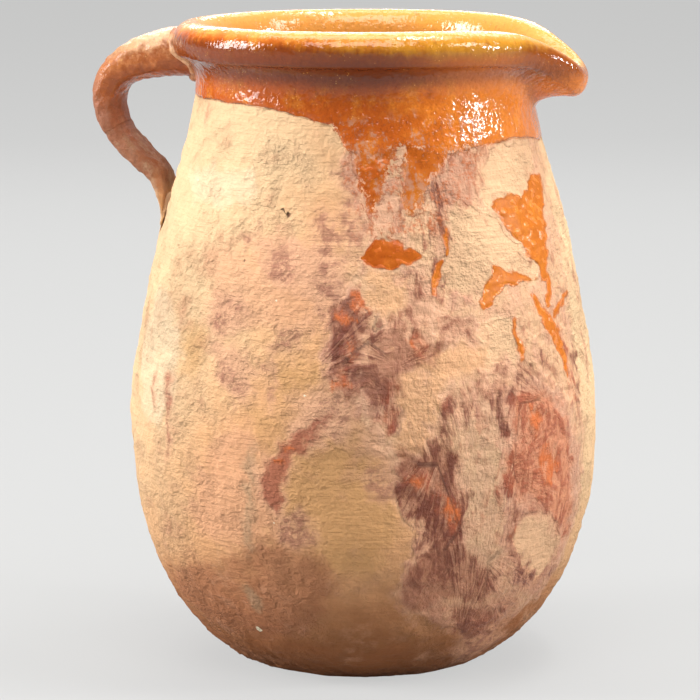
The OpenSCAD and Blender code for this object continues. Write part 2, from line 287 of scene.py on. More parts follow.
def write_value(piece, name, values):
    """Keeps one number for each of a piece's points, for its material to read."""
    kept = piece.data.attributes.get(name) or piece.data.attributes.new(name, "FLOAT", "POINT")
    kept.data.foreach_set("value", np.asarray(values, np.float32))


pot = spun_wall("thrown_pot", columns)
pot_row = read_value(pot, "row")
spun = read_points(pot)
pot_angle = np.degrees(np.arctan2(spun[:, 1], spun[:, 0]))
pot_angle[np.hypot(spun[:, 0], spun[:, 1]) < 1e-6] = 180
write_value(pot, "angle", pot_angle)
pot_normal = wall_normal(pot_row, pot_angle)
pot_normal[pot_row < foot_row] = (0, 0, -1)
pot_normal[pot_row > first_rows[-2]] = (0, 0, 1)
pot_place = wall_place(pot_row, pot_angle) + pot_normal * clay_relief(pot_row, pot_angle)[:, None]
under = pot_row < foot_row
pot_place[under, 2] = 0.5 * (1 - (pot_row[under] / foot_row) ** 4)
pot_place[:, 2] = np.maximum(pot_place[:, 2], 0)
write_points(pot, pot_place * MM)
bpy.ops.object.shade_smooth()


def unrolled(angle, height, middle):
    """Millimetres across from a middle angle, and up along the wall, on the pot's unrolled outside."""
    radius = np.interp(height, low_line[:, 1], low_line[:, 0])
    along = np.interp(height, low_line[:, 1], low_length) + np.maximum(height - root[1], 0)
    return np.stack([np.radians(angle - middle) * radius, along], -1)


def near(points, angle, height, reach):
    """Which places lie within a reach of a drawn shape, and the middle angle of the shape."""
    drawn = np.array(points, float)
    close = ((angle > drawn[:, 0].min() - reach) & (angle < drawn[:, 0].max() + reach)
             & (height > drawn[:, 1].min() - reach) & (height < drawn[:, 1].max() + reach))
    return close, (drawn[:, 0].min() + drawn[:, 0].max()) / 2


def to_line(place, a, b):
    """The distance from places to a line from a to b, and the share of the line where they are nearest."""
    way = b - a
    share = np.clip(((place - a) @ way) / max(way @ way, 1e-9), 0, 1)
    return np.linalg.norm(place - a - share[:, None] * way, axis=1), share


def in_patch(points, angle, height, reach=9):
    """Millimetres inside a patch, whose outline is drawn as angles and heights; below zero outside it."""
    result = np.full(len(angle), -float(reach))
    close, middle = near(points, angle, height, reach)
    if not close.any():
        return result
    place = unrolled(angle[close], height[close], middle)
    drawn = np.array(points, float)
    corners = unrolled(drawn[:, 0], drawn[:, 1], middle)
    least = np.full(len(place), 1e9)
    inside_it = np.zeros(len(place), bool)
    for a, b in zip(corners, np.roll(corners, -1, axis=0)):
        least = np.minimum(least, to_line(place, a, b)[0])
        between = (a[1] > place[:, 1]) != (b[1] > place[:, 1])
        rise = b[1] - a[1] if abs(b[1] - a[1]) > 1e-9 else 1e-9
        inside_it ^= between & (place[:, 0] < a[0] + (place[:, 1] - a[1]) / rise * (b[0] - a[0]))
    result[close] = np.maximum(np.where(inside_it, least, -least), -reach)
    return result


def in_streak(points, angle, height, reach=9):
    """Millimetres inside a streak, drawn as angles, heights and half widths; below zero outside it."""
    result = np.full(len(angle), -float(reach))
    close, middle = near([p[:2] for p in points], angle, height, reach)
    if not close.any():
        return result
    drawn = np.array(points, float)
    place = unrolled(angle[close], height[close], middle)
    spots = unrolled(drawn[:, 0], drawn[:, 1], middle)
    best = np.full(len(place), -float(reach))
    for k in range(max(1, len(points) - 1)):
        b = min(k + 1, len(points) - 1)
        distance, share = to_line(place, spots[k], spots[b])
        best = np.maximum(best, drawn[k, 2] + (drawn[b, 2] - drawn[k, 2]) * share - distance)
    result[close] = best
    return result


def drawn_on(shapes, angle, height):
    """Millimetres inside the nearest of the patches and streaks; below zero outside them all."""
    best = np.full(len(angle), -9.0)
    for points in shapes:
        shape = in_streak if len(points[0]) == 3 else in_patch
        best = np.maximum(best, shape(points, angle, height))
    return best


# The stains of the clay, as angles from the lip's middle and heights: where the film of glaze left purple
# bruises, where the fire left ochre, red and grey, and where the film has bare windows
purple_stains = [
    [(-60, 208), (-46, 207), (-43, 200), (-46, 190), (-55, 184), (-62, 190)],
    [(-88, 206), (-83, 206), (-80, 190), (-79, 176), (-84, 168), (-87, 180)],
    [(-94, 116), (-86, 119), (-81, 112), (-85, 104), (-93, 108)],
    [(-96, 186), (-91, 188), (-87, 185), (-86, 175), (-86, 164), (-89, 158), (-92, 165), (-95, 175)],
    [(-109, 165), (-105, 171), (-100, 173), (-97, 166), (-100, 159), (-106, 158)],
    [(-123, 143), (-121, 149), (-115, 149), (-113, 143), (-116, 137), (-121, 137)],
    [(-92, 160), (-85, 161), (-82, 153), (-81, 138), (-83, 127), (-85, 119), (-88, 121), (-90, 138)],
    [(-100, 70), (-95, 74), (-92, 71), (-93, 61), (-98, 58), (-101, 62)],
    [(-83, 127), (-78, 128), (-72, 126), (-72, 117), (-73, 105), (-75, 106), (-79, 113), (-82, 118)],
    [(-80, 91), (-76, 93), (-72, 88), (-72, 81), (-75, 78), (-79, 82)],
    [(-72, 96), (-66, 96), (-59, 94), (-58, 87), (-58, 79), (-55, 75), (-54, 63), (-55, 53), (-59, 44),
     (-65, 42), (-69, 46), (-68, 59), (-67, 69), (-69, 77), (-71, 85)],
    [(-51, 26), (-45, 28), (-35, 23), (-24, 14), (-28, 6), (-38, 4), (-48, 13)],
    [(-47, 127), (-44, 129), (-42, 127), (-43, 124), (-46, 124)],
    [(-44, 118), (-33, 120), (-24, 112), (-19, 100), (-15, 80), (-13, 58), (-17, 42), (-26, 36), (-36, 42),
     (-43, 56), (-45, 76), (-45, 98)],
    [(-119, 138, 1.0), (-118, 132, 2.0), (-116, 126, 2.4), (-113, 121, 2.0), (-110, 118, 1.2)],
    [(-114, 170, 0.8), (-113, 175, 0.8), (-110, 179, 0.5)],
    [(-103, 134, 0.8), (-101, 138, 1.1), (-97, 142, 1.1), (-94, 144, 0.8)],
    [(-103, 128, 0.8), (-102, 121, 1.0), (-103, 116, 0.6)],
    [(-86, 197, 0.8), (-83, 193, 1.1), (-82, 185, 1.3), (-81, 175, 1.5), (-81, 167, 1.7)],
    [(-64, 156, 0.8), (-67, 151, 0.9), (-68, 145, 0.9), (-68, 139, 0.8)],
    [(-61, 141, 0.8), (-58, 144, 1.0), (-53, 143, 1.0), (-49, 140, 0.7)],
    [(-61, 136, 0.7), (-57, 139, 0.9), (-52, 138, 0.7)],
    [(-54, 123, 0.7), (-53, 115, 1.0), (-52, 106, 0.7)],
    [(-50, 123, 0.7), (-48, 116, 1.0), (-46, 107, 1.0), (-46, 97, 0.7)],
    [(-46, 120, 0.7), (-44, 112, 1.0), (-44, 102, 1.1), (-43, 96, 0.7)],
    [(-71, 160, 0.8), (-69, 161, 1.2), (-66, 162, 0.8)],
    [(-58, 152, 0.8), (-54, 153, 1.2), (-50, 154, 1.2)],
    [(-75, 200, 1.0), (-73, 194, 1.6), (-72, 186, 1.8), (-71, 180, 1.2)],
    [(22, 150), (34, 158), (41, 142), (36, 121), (27, 118), (21, 132)],
    [(58, 120), (66, 126), (72, 112), (67, 96), (60, 100)]]
dark_stains = [
    [(-78, 139), (-75, 144), (-72, 145), (-70, 138), (-68, 135), (-65, 136), (-61, 138), (-61, 134), (-64, 131),
     (-68, 129), (-70, 127), (-72, 120), (-73, 111), (-74, 105), (-75, 106), (-75, 114), (-78, 116), (-80, 123),
     (-79, 131)],
    [(-89, 149), (-85, 153), (-81, 150), (-79, 142), (-80, 133), (-81, 124), (-83, 117), (-86, 120), (-88, 127),
     (-87, 135), (-88, 142)],
    [(-72, 97), (-66, 98), (-61, 99), (-58, 93), (-57, 81), (-54, 76), (-56, 70), (-56, 60), (-53, 55), (-48, 49),
     (-44, 46), (-43, 38), (-48, 36), (-53, 38), (-58, 38), (-64, 33), (-69, 36), (-69, 44), (-70, 49), (-67, 56),
     (-65, 62), (-68, 71), (-71, 79), (-72, 87)],
    [(-54, 33), (-38, 29), (-28, 11), (-35, 7), (-48, 12)],
    [(-58, 192, 0.8), (-57, 182, 1.3), (-58, 172, 1.5), (-60, 162, 1.2), (-62, 154, 0.7)],
    [(-65, 158, 0.5), (-68, 151, 0.7), (-68, 145, 0.7), (-67, 140, 0.8), (-65, 137, 0.6)], [(-45, 126, 1.6)],
    [(-61, 144, 0.4), (-58, 144, 0.8), (-53, 142, 0.5)], [(-61, 140, 0.4), (-56, 141, 0.8), (-53, 139, 0.4)],
    [(-54, 120, 0.4), (-56, 113, 0.8), (-55, 108, 0.4)], [(-59, 116, 0.4), (-62, 105, 0.8), (-64, 98, 0.6)],
    [(-47, 118, 0.5), (-47, 105, 0.8), (-43, 101, 0.9)], [(-52, 123, 0.4), (-50, 116, 0.7), (-52, 111, 0.4)],
    [(-39, 124, 0.6), (-41, 119, 0.9), (-42, 113, 0.7)], [(-40, 127, 0.5), (-36, 123, 0.8), (-31, 120, 0.6)],
    [(-33, 130, 0.5), (-30, 125, 0.7), (-25, 121, 0.5)], [(-12, 145, 0.6), (-11, 141, 0.7)],
    [(-6, 137, 0.7), (-7, 133, 0.5)], [(-12, 129, 0.7), (-14, 123, 0.9)], [(-11, 117, 0.6), (-14, 110, 0.8)],
    [(-43, 87, 1.0), (-41, 75, 1.3), (-41, 66, 1.4), (-40, 57, 1.8), (-36, 48, 2.2), (-28, 40, 2.4), (-19, 40, 1.8)],
    [(29, 148), (36, 150), (38, 138), (33, 122), (28, 126)]]
mauve_stains = [
    [(-98, 120), (-86, 122), (-80, 112), (-84, 100), (-96, 106)], [(-80, 112), (-74, 118), (-70, 104), (-74, 92), (-81, 98)],
    [(-125, 150), (-119, 153), (-114, 151), (-111, 143), (-114, 136), (-120, 135), (-124, 141)],
    [(-109, 173), (-100, 175), (-91, 171), (-85, 167), (-83, 157), (-86, 151), (-94, 153), (-101, 158), (-108, 163)],
    [(-121, 134), (-115, 136), (-110, 130), (-107, 118), (-112, 115), (-118, 122)],
    [(-12, 203), (1, 201), (-6, 192), (-11, 183), (-16, 179), (-18, 184), (-21, 189), (-15, 196)],
    [(-12, 184), (-10, 178), (-12, 166), (-12, 155), (-12, 145), (-17, 146), (-20, 155), (-20, 166)],
    [(-88, 116), (-84, 118), (-84, 108), (-92, 100), (-98, 104), (-94, 110)],
    [(18, 160), (44, 164), (52, 140), (40, 112), (22, 112)]]
peach_stains = [
    [(-72, 125), (-68, 128), (-64, 126), (-60, 124), (-62, 116), (-64, 106), (-66, 97), (-71, 96), (-73, 102),
     (-72, 112)],
    [(-70, 124), (-68, 131), (-61, 134), (-53, 136), (-48, 133), (-47, 128), (-54, 125), (-60, 123), (-66, 126)],
    [(-78, 165), (-73, 163), (-70, 160), (-69, 153), (-72, 148), (-76, 147), (-79, 153)]]
red_stains = [
    [(-40, 118), (-35, 115), (-30, 114), (-23, 106), (-20, 94), (-19, 78), (-17, 64), (-15, 56), (-20, 56),
     (-25, 62), (-31, 69), (-37, 72), (-43, 79), (-46, 87), (-42, 98), (-43, 110)],
    [(-70, 89), (-65, 90), (-63, 82), (-68, 80)], [(-61, 80, 0.8), (-59, 74, 1.4), (-58, 68, 0.9)],
    [(-86, 111, 0.9), (-89, 109, 1.5), (-92, 105, 2.4), (-95, 101, 3.4), (-98, 96, 4.4), (-100, 91, 5.0),
     (-102, 85, 5.2), (-102, 80, 4.4), (-101, 75, 2.4)],
    [(-143, 119, 0.9), (-144, 113, 1.3), (-142, 107, 0.8)],
    [(-135, 118, 0.9), (-135, 112, 1.3), (-134, 108, 1.6), (-134, 102, 0.9), (-134, 96, 1.2), (-135, 88, 0.8)],
    [(-144, 219, 0.4), (-144, 217, 0.8), (-144, 214, 0.4)],
    [(-81, 152, 0.7), (-81, 149, 0.5)], [(-86, 148, 0.4), (-85, 146, 0.2)], [(-83, 134, 0.4), (-83, 130, 0.4)],
    [(-85, 125, 1.0), (-86, 120, 0.7)],
    [(-73, 123, 1.0), (-74, 117, 1.4), (-74, 111, 1.4), (-75, 106, 0.8)],
    [(-67, 138, 1.4), (-67, 135, 1.4)],
    [(-21, 136, 0.8), (-19, 124, 1.2), (-18, 110, 0.8)],
    [(4, 189, 0.5), (3, 183, 0.7), (3, 177, 0.5)], [(-8, 169, 0.5), (-7, 159, 0.7), (-8, 151, 0.5)],
    [(-5, 132, 0.6), (-4, 124, 0.9), (-5, 114, 0.6)], [(-1, 160, 0.5), (0, 152, 0.7), (-1, 143, 0.4)],
    [(26, 142, 1.5), (29, 128, 2.4), (31, 112, 1.6), (30, 100, 0.6)],
    [(64, 118, 0.8), (66, 106, 1.6), (65, 92, 0.6)]]
orange_stains = [
    [(-82, 154, 0.9), (-81, 152, 1.1), (-79, 150, 0.8)], [(-86, 147, 0.8), (-84, 146, 0.9)],
    [(-83, 137, 0.5), (-83, 131, 0.6)], [(-87, 121, 1.4), (-85, 123, 1.4)], [(-68, 137, 1.2)], [(-32, 90, 2.6), (-29, 86, 4.0), (-30, 80, 2.2)], [(-36, 107, 2.4), (-34, 101, 1.6)], [(-100, 93, 1.8)], [(-98, 97, 1.4)],
    [(-60, 78, 1.2), (-58, 74, 1.6)],
    [(-40, 63, 1.6)], [(-60, 75, 2.0), (-58, 72, 2.2)], [(-68, 86, 2.2)]]
ochre_stains = [
    [(-102, 127), (-96, 130), (-89, 128), (-89, 115), (-95, 112), (-101, 115)],
    [(-133, 137), (-124, 140), (-122, 128), (-125, 122), (-131, 123)],
    [(-108, 112), (-92, 104), (-82, 104), (-76, 92), (-72, 66), (-78, 50), (-92, 50), (-98, 72), (-104, 92)]]
brown_stains = [
    [(-151, 40), (-123, 50), (-107, 62), (-95, 62), (-87, 50), (-90, 30), (-112, 18), (-138, 21), (-150, 30)],
    [(-51, 26), (-45, 28), (-35, 23), (-24, 14), (-28, 6), (-38, 4), (-48, 13)]]
grey_stains = [
    [(-77, 207), (-74, 210), (-70, 211), (-67, 210), (-67, 207), (-68, 202), (-70, 198), (-72, 199),
     (-74, 201), (-76, 203)],
    [(-55, 119), (-49, 119), (-45, 112), (-45, 99), (-44, 76), (-42, 55), (-45, 48), (-51, 51), (-54, 66),
     (-56, 82), (-57, 101)]]
ash_stains = [
    [(-107, 96, 1.8), (-108, 87, 2.0), (-108, 77, 2.0), (-109, 65, 1.8), (-110, 55, 1.0)],
    [(-113, 40, 1.6), (-112, 36, 1.9), (-111, 31, 1.2)], [(82, 92, 1.0), (83, 84, 1.8), (81, 76, 1.0)]]
bare_windows = [
    [(-40, 199), (-36, 204), (-31, 206), (-23, 205), (-14, 204), (-13, 201), (-19, 193), (-22, 191),
     (-26, 187), (-30, 188), (-31, 190), (-35, 188), (-40, 186), (-43, 188), (-43, 192), (-42, 196)],
    [(-53, 187), (-48, 186), (-44, 183), (-40, 181), (-37, 175), (-33, 169), (-28, 164), (-26, 161),
     (-27, 158), (-30, 157), (-35, 160), (-39, 162), (-42, 164), (-43, 163), (-45, 159), (-48, 153),
     (-50, 151), (-54, 153), (-58, 155), (-59, 159), (-58, 164), (-56, 173), (-55, 180)],
    [(-49, 140), (-46, 143), (-41, 141), (-39, 138), (-40, 132), (-42, 128), (-47, 129), (-49, 133)],
    [(-39, 67), (-35, 70), (-30, 68), (-25, 61), (-20, 55), (-19, 48), (-22, 43), (-26, 41), (-32, 46),
     (-37, 52), (-40, 60)]]
chalk_stains = [
    [(-149, 194), (-132, 199), (-116, 198), (-111, 193), (-116, 187), (-127, 184), (-140, 185)],
    [(-152, 150), (-144, 150), (-133, 137), (-132, 111), (-138, 98), (-149, 99), (-157, 120)],
    [(70, 170), (92, 186), (112, 180), (104, 160), (84, 158)]]
blush_stains = [
    [(-128, 168), (-109, 175), (-89, 175), (-85, 157), (-88, 142), (-104, 141), (-121, 143)],
    [(-113, 107), (-100, 105), (-95, 90), (-103, 62), (-118, 52), (-128, 65), (-122, 90)],
    [(96, 110), (118, 118), (132, 96), (120, 70), (100, 72)], [(150, 190), (168, 196), (176, 170), (160, 158)]]
lime_specks = [
    [(-140, 192, 0.8)], [(-123, 220, 0.6)], [(-117, 183, 0.6)], [(-103, 152, 0.6)], [(-103, 214, 0.5)],
    [(-112, 190, 0.5)], [(-94, 118, 0.8)], [(-84, 138, 1.0)], [(-107, 80, 0.6)], [(-102, 69, 0.7)],
    [(-114, 67, 0.5)], [(-114, 22, 1.5)], [(-54, 90, 0.8)], [(-62, 119, 0.6)], [(60, 150, 0.9)], [(95, 110, 0.7)],
    [(130, 165, 0.8)], [(150, 90, 0.9)], [(40, 70, 0.8)], [(170, 130, 0.6)]]
# Where the collar's lower edge frays into the film
frayed_edge = [[(-90, 218), (-40, 218), (-42, 200), (-50, 184), (-62, 176), (-84, 176)]]
pits = [[(-102, 183, 1.1)], [(-104, 185, 0.7)], [(-114, 165, 0.8)], [(-116, 200, 0.6)], [(120, 140, 1.0)]]
# The film's outline, and the thick orange tongues, patches and streaks that ran or were spilled below the dip
film_outline = [
    (-87, 216), (-87, 204), (-86, 199), (-84, 192), (-82, 187), (-81, 182), (-81, 169), (-83, 163), (-85, 157),
    (-87, 151), (-89, 146), (-90, 136), (-89, 127), (-86, 120), (-83, 115), (-80, 107), (-78, 100), (-76, 98),
    (-74, 92), (-73, 85), (-72, 79), (-70, 71), (-67, 63), (-69, 56), (-72, 49), (-72, 41), (-69, 33), (-62, 27), (-52, 24), (-45, 21), (-32, 22),
    (-20, 30), (-13, 45), (-10, 62), (-11, 85), (-13, 110), (-13, 134), (-12, 150), (-9, 170), (-6, 190),
    (-3, 204), (-2, 216)]
run_shapes = [
    [(-84, 210), (-69, 210), (-72, 198), (-74, 192), (-76, 186), (-78, 182), (-79, 184), (-80, 188), (-82, 195),
     (-83, 201)],
    [(-67, 210), (-52, 210), (-54, 201), (-57, 197), (-61, 193), (-63, 187), (-66, 183), (-68, 184), (-69, 187),
     (-69, 193), (-69, 201)],
    [(-40, 186), (-35, 188), (-31, 189), (-27, 187), (-22, 191), (-18, 194), (-12, 194), (-11, 189),
     (-15, 181), (-17, 174), (-20, 164), (-22, 155), (-26, 155), (-26, 161), (-28, 164), (-32, 170), (-35, 176),
     (-38, 182)],
    [(-42, 164), (-39, 162), (-35, 160), (-30, 157), (-27, 156), (-34, 156), (-38, 155), (-41, 154), (-44, 151),
     (-46, 148), (-48, 148), (-49, 150), (-47, 155), (-45, 160)],
    [(-81, 168), (-80, 171), (-77, 175), (-74, 176), (-71, 175), (-69, 172), (-69, 171), (-66, 171), (-65, 169),
     (-66, 167), (-68, 166), (-70, 165), (-73, 164), (-77, 165), (-79, 166)],
    [(-57, 179, 0.8), (-57, 174, 1.1), (-57, 168, 0.6)],
    [(-59, 166, 1.0), (-61, 160, 1.4), (-62, 154, 1.0)],
    [(-30, 150, 1.6), (-28, 144, 2.6), (-25, 138, 3.4), (-22, 132, 3.2), (-20, 126, 2.3), (-20, 119, 1.0)],
    [(-22, 156, 1.4), (-23, 151, 1.8), (-25, 146, 1.4)],
    [(-22, 142, 1.8), (-17, 146, 1.9), (-12, 149, 1.2)],
    [(-39, 143, 0.8), (-39, 137, 1.2), (-38, 132, 1.4), (-38, 128, 0.8)]]
# Fans of brushed strokes in the film: the angle and height that a fan's strokes spread from, how far they reach
# in millimetres, and their first and last directions in degrees from the right
feather_fans = [
    (-73, 130, 20, 95, 200), (-75, 127, 21, 5, 38), (-74, 128, 24, 246, 290), (-60, 107, 50, 222, 292),
    (-46, 86, 34, -35, 82), (-49, 18, 106, 78, 112), (-67, 159, 44, -18, 22), (-31, 112, 20, 70, 210),
    (-60, 216, 60, 246, 292), (-7, 30, 142, 82, 104), (-52, 58, 44, -70, -8), (-93, 126, 34, 10, 60)]
# The height of the dipped collar's lower edge, round the pot from the handle's side by way of the front
dip_angles = [-180, -157, -129, -112, -99, -90, -87, -86, -78, -66, -56, -47, -38, -25, -12, 0, 20, 50, 90, 130, 180]
dip_heights = [222, 222, 222, 221, 218, 215, 210, 206, 205, 207, 204, 205, 207, 208, 207, 205, 206, 210, 216, 220, 222]
clay_stains = {"purple": purple_stains, "dark": dark_stains, "mauve": mauve_stains, "peach": peach_stains, "red": red_stains, "orange": orange_stains, "ochre": ochre_stains,
               "brown": brown_stains, "grey": grey_stains, "cream": bare_windows, "ash": ash_stains, "lime": lime_specks, "chalk": chalk_stains, "blush": blush_stains,
               "pit": pits, "frayed": frayed_edge, "film": [film_outline], "runs": run_shapes}


def in_feathers(angle, height):
    """Millimetres inside the nearest fan of strokes, and the places across and along its strokes."""
    best, across, along = np.full(len(angle), -9.0), np.zeros(len(angle)), np.zeros(len(angle))
    for number, (fan_angle, fan_height, reach, first, last) in enumerate(feather_fans):
        place = unrolled(angle, height, fan_angle) - unrolled(np.array([fan_angle]), np.array([fan_height]), fan_angle)
        away = np.hypot(place[:, 0], place[:, 1])
        turn = (np.degrees(np.arctan2(place[:, 1], place[:, 0])) - (first + last) / 2 + 180) % 360 - 180
        aside = away * np.sin(np.radians(np.clip((last - first) / 2 - np.abs(turn), -90, 90)))
        inside_it = np.minimum(reach - away, aside)
        better = inside_it > best
        best = np.where(better, inside_it, best)
        across = np.where(better, np.radians(turn) * reach * 0.6 + 50 * number, across)
        along = np.where(better, away, along)
    return np.clip(best, -5, 5), across, along


def write_stains(piece, row, angle):
    """Keeps how far each of a piece's points lies inside each kind of stain or coat, with hand-worn outlines."""
    places = wall_place(row, angle)
    shift = 0.9 * lumps(places, 7, 21), 0.9 * lumps(places, 7, 22)
    outside = (row >= foot_row) & (row <= crest_row)
    radius = np.maximum(np.hypot(places[:, 0], places[:, 1]), 1)
    found = {}
    for kind, shapes in clay_stains.items():
        drift = {"lime": 0, "pit": 0, "runs": 0.5}.get(kind, 1)
        inside_it = drawn_on(shapes, angle + drift * np.degrees(shift[0] / radius), places[:, 2] + drift * shift[1])
        found[kind] = np.where(outside, np.clip(inside_it, -5, 5), -5)
    dip = places[:, 2] - np.interp(angle, dip_angles, dip_heights) + 0.15 * lumps(places, 12, 23)
    dip = np.where(row < foot_row, -5, np.where(row > crest_row, 5, np.clip(dip, -5, 5)))
    found["runs"] = found["runs"] + 0.2 * lumps(places, 3.4, 24)
    found["collar"] = np.minimum(dip, -found["cream"])
    found["film"] = np.minimum(found["film"], -found["cream"])
    found["glaze"] = np.maximum(found["collar"], found["runs"])
    found["feathers"], found["across"], found["along"] = in_feathers(angle, places[:, 2])
    for kind, inside_it in found.items():
        write_value(piece, kind, inside_it)


write_stains(pot, pot_row, pot_angle)


class Wire:
    """A value on its way through a material's nodes, so that shader maths reads as arithmetic."""

    def __init__(self, finish, socket):
        self.finish = finish
        self.socket = socket

    def maths(self, operation, first, second):
        return self.finish.node("ShaderNodeMath", {"operation": operation}, {0: first, 1: second})

    def __add__(self, other):
        return self.maths("ADD", self, other)

    def __radd__(self, other):
        return self.maths("ADD", other, self)

    def __sub__(self, other):
        return self.maths("SUBTRACT", self, other)

    def __rsub__(self, other):
        return self.maths("SUBTRACT", other, self)

    def __mul__(self, other):
        return self.maths("MULTIPLY", self, other)

    def __rmul__(self, other):
        return self.maths("MULTIPLY", other, self)

    def size(self):
        """The value without its sign."""
        return self.maths("ABSOLUTE", self, 0.0)


def colour(red, green, blue):
    """A colour as the eye sees it, from 0 to 255, as the shader's linear one."""
    shares = (c / 255 for c in (red, green, blue))
    return tuple(s / 12.92 if s <= 0.04045 else ((s + 0.055) / 1.055) ** 2.4 for s in shares) + (1,)


class Finish:
    """A material and the nodes that make it."""

    def __init__(self, name):
        self.material = bpy.data.materials.new(name)
        self.material.use_nodes = True
        self.tree = self.material.node_tree
        self.shader = next(n for n in self.tree.nodes if n.type == "BSDF_PRINCIPLED")
        self.place = self.node("ShaderNodeTexCoord", output="Object")

    def node(self, kind, settings=None, inputs=None, output=0):
        """A node of a kind, its settings, the values or wires of its inputs, and the output that is used."""
        made = self.tree.nodes.new(kind)
        for key, value in (settings or {}).items():
            setattr(made, key, value)
        for key, value in (inputs or {}).items():
            if isinstance(value, Wire):
                self.tree.links.new(value.socket, made.inputs[key])
            else:
                made.inputs[key].default_value = value
        return Wire(self, made.outputs[output])

    def value(self, name):
        """A number kept on the piece's points."""
        return self.node("ShaderNodeAttribute", {"attribute_name": name}, output="Fac")

    def noise(self, size, detail=2, rough=0.5, stretch=(1, 1, 1), seed=0, curl=0.0, place=None):
        """Cloudy noise around 0 with clouds of a size in millimetres, stretched by shares of its frequency."""
        place = self.node("ShaderNodeVectorMath", {"operation": "MULTIPLY_ADD"},
                          {0: place or self.place, 1: stretch, 2: (seed * 0.37, seed * 0.21, seed * 0.13)})
        cloud = self.node("ShaderNodeTexNoise", None, {
            "Vector": place, "Scale": 1 / (size * MM), "Detail": detail, "Roughness": rough,
            "Distortion": curl}, "Fac")
        return cloud - 0.5

    def cells(self, size, seed=0):
        """The distance to the middle of the nearest of many random cells, 0 to about 1."""
        place = self.node("ShaderNodeVectorMath", {"operation": "ADD"},
                          {0: self.place, 1: (seed * 0.31, seed * 0.17, seed * 0.23)})
        return self.node("ShaderNodeTexVoronoi", None, {"Vector": place, "Scale": 1 / (size * MM)}, "Distance")

    def step(self, value, low, high):
        """A soft step from 0 to 1 as a value goes from low to high."""
        return self.node("ShaderNodeMapRange", {"interpolation_type": "SMOOTHSTEP"},
                         {"Value": value, "From Min": low, "From Max": high}, "Result")

    def blend(self, first, second, share):
        """A colour between two colours."""
        return self.node("ShaderNodeMix", {"data_type": "RGBA"}, {0: share, 6: first, 7: second}, 2)

    def shade(self, base, factor):
        """A colour made darker or lighter by a factor around 1."""
        return self.node("ShaderNodeVectorMath", {"operation": "SCALE"}, {0: base, "Scale": factor})

    def bump(self, height, distance, strength=1.0):
        """The normal of a surface raised by a height in millimetres."""
        return self.node("ShaderNodeBump", None, {
            "Height": height, "Distance": distance * MM, "Strength": strength}, "Normal")

    def give(self, piece, **inputs):
        """Sets the shader's inputs and gives the material to a piece."""
        for key, value in inputs.items():
            name = key.replace("_", " ").title().replace("Ior", "IOR")
            if isinstance(value, Wire):
                self.tree.links.new(value.socket, self.shader.inputs[name])
            else:
                self.shader.inputs[name].default_value = value
        piece.data.materials.clear()
        piece.data.materials.append(self.material)


cream_clay = colour(242, 203, 157)
peach_clay = colour(232, 174, 124)
blush_clay = colour(232, 170, 132)
chalky_clay = colour(244, 222, 188)
ochre_clay = colour(210, 158, 100)
# Brown of the clay near the foot, partly the clay's own colour and partly painted shade of the low, down-facing wall
base_brown_and_shade = colour(160, 100, 60)
terracotta = colour(170, 108, 74)
purple_stain = colour(156, 98, 80)
red_stain = colour(158, 74, 52)
orange_stain = colour(222, 114, 50)
grey_stain = colour(204, 166, 128)
ash_stain = colour(166, 146, 114)
lime_white = colour(250, 238, 206)
# Painted shade inside the pits
pit_shade = colour(92, 56, 38)
film_pink = colour(233, 177, 140)
film_mauve = colour(218, 162, 134)
film_tan = colour(232, 184, 140)
film_peach = colour(238, 178, 126)
film_mid = colour(202, 138, 104)
film_dark = colour(124, 64, 44)
film_brown = colour(166, 100, 72)
film_rust = colour(218, 136, 96)
film_red = colour(176, 92, 60)
window_cream = colour(234, 188, 146)
glaze_orange = colour(208, 98, 28)
glaze_bright = colour(236, 140, 48)
# Dark brown glaze, also used for painted shade under the rim and on the neck's middle
glaze_brown = colour(122, 54, 20)
glaze_olive = colour(198, 142, 42)
# Painted highlight along the crest, where the glaze also thins
crest_glare_pale = colour(242, 180, 100)
# Yellower glaze inside: partly the inner glaze's colour, partly painted light of the brightly lit inner wall
glaze_yellow_and_glare = colour(240, 168, 78)
glaze_rust = colour(202, 112, 62)
# Painted glints: gold sparkles of the glaze
painted_glint_gold = colour(246, 176, 84)


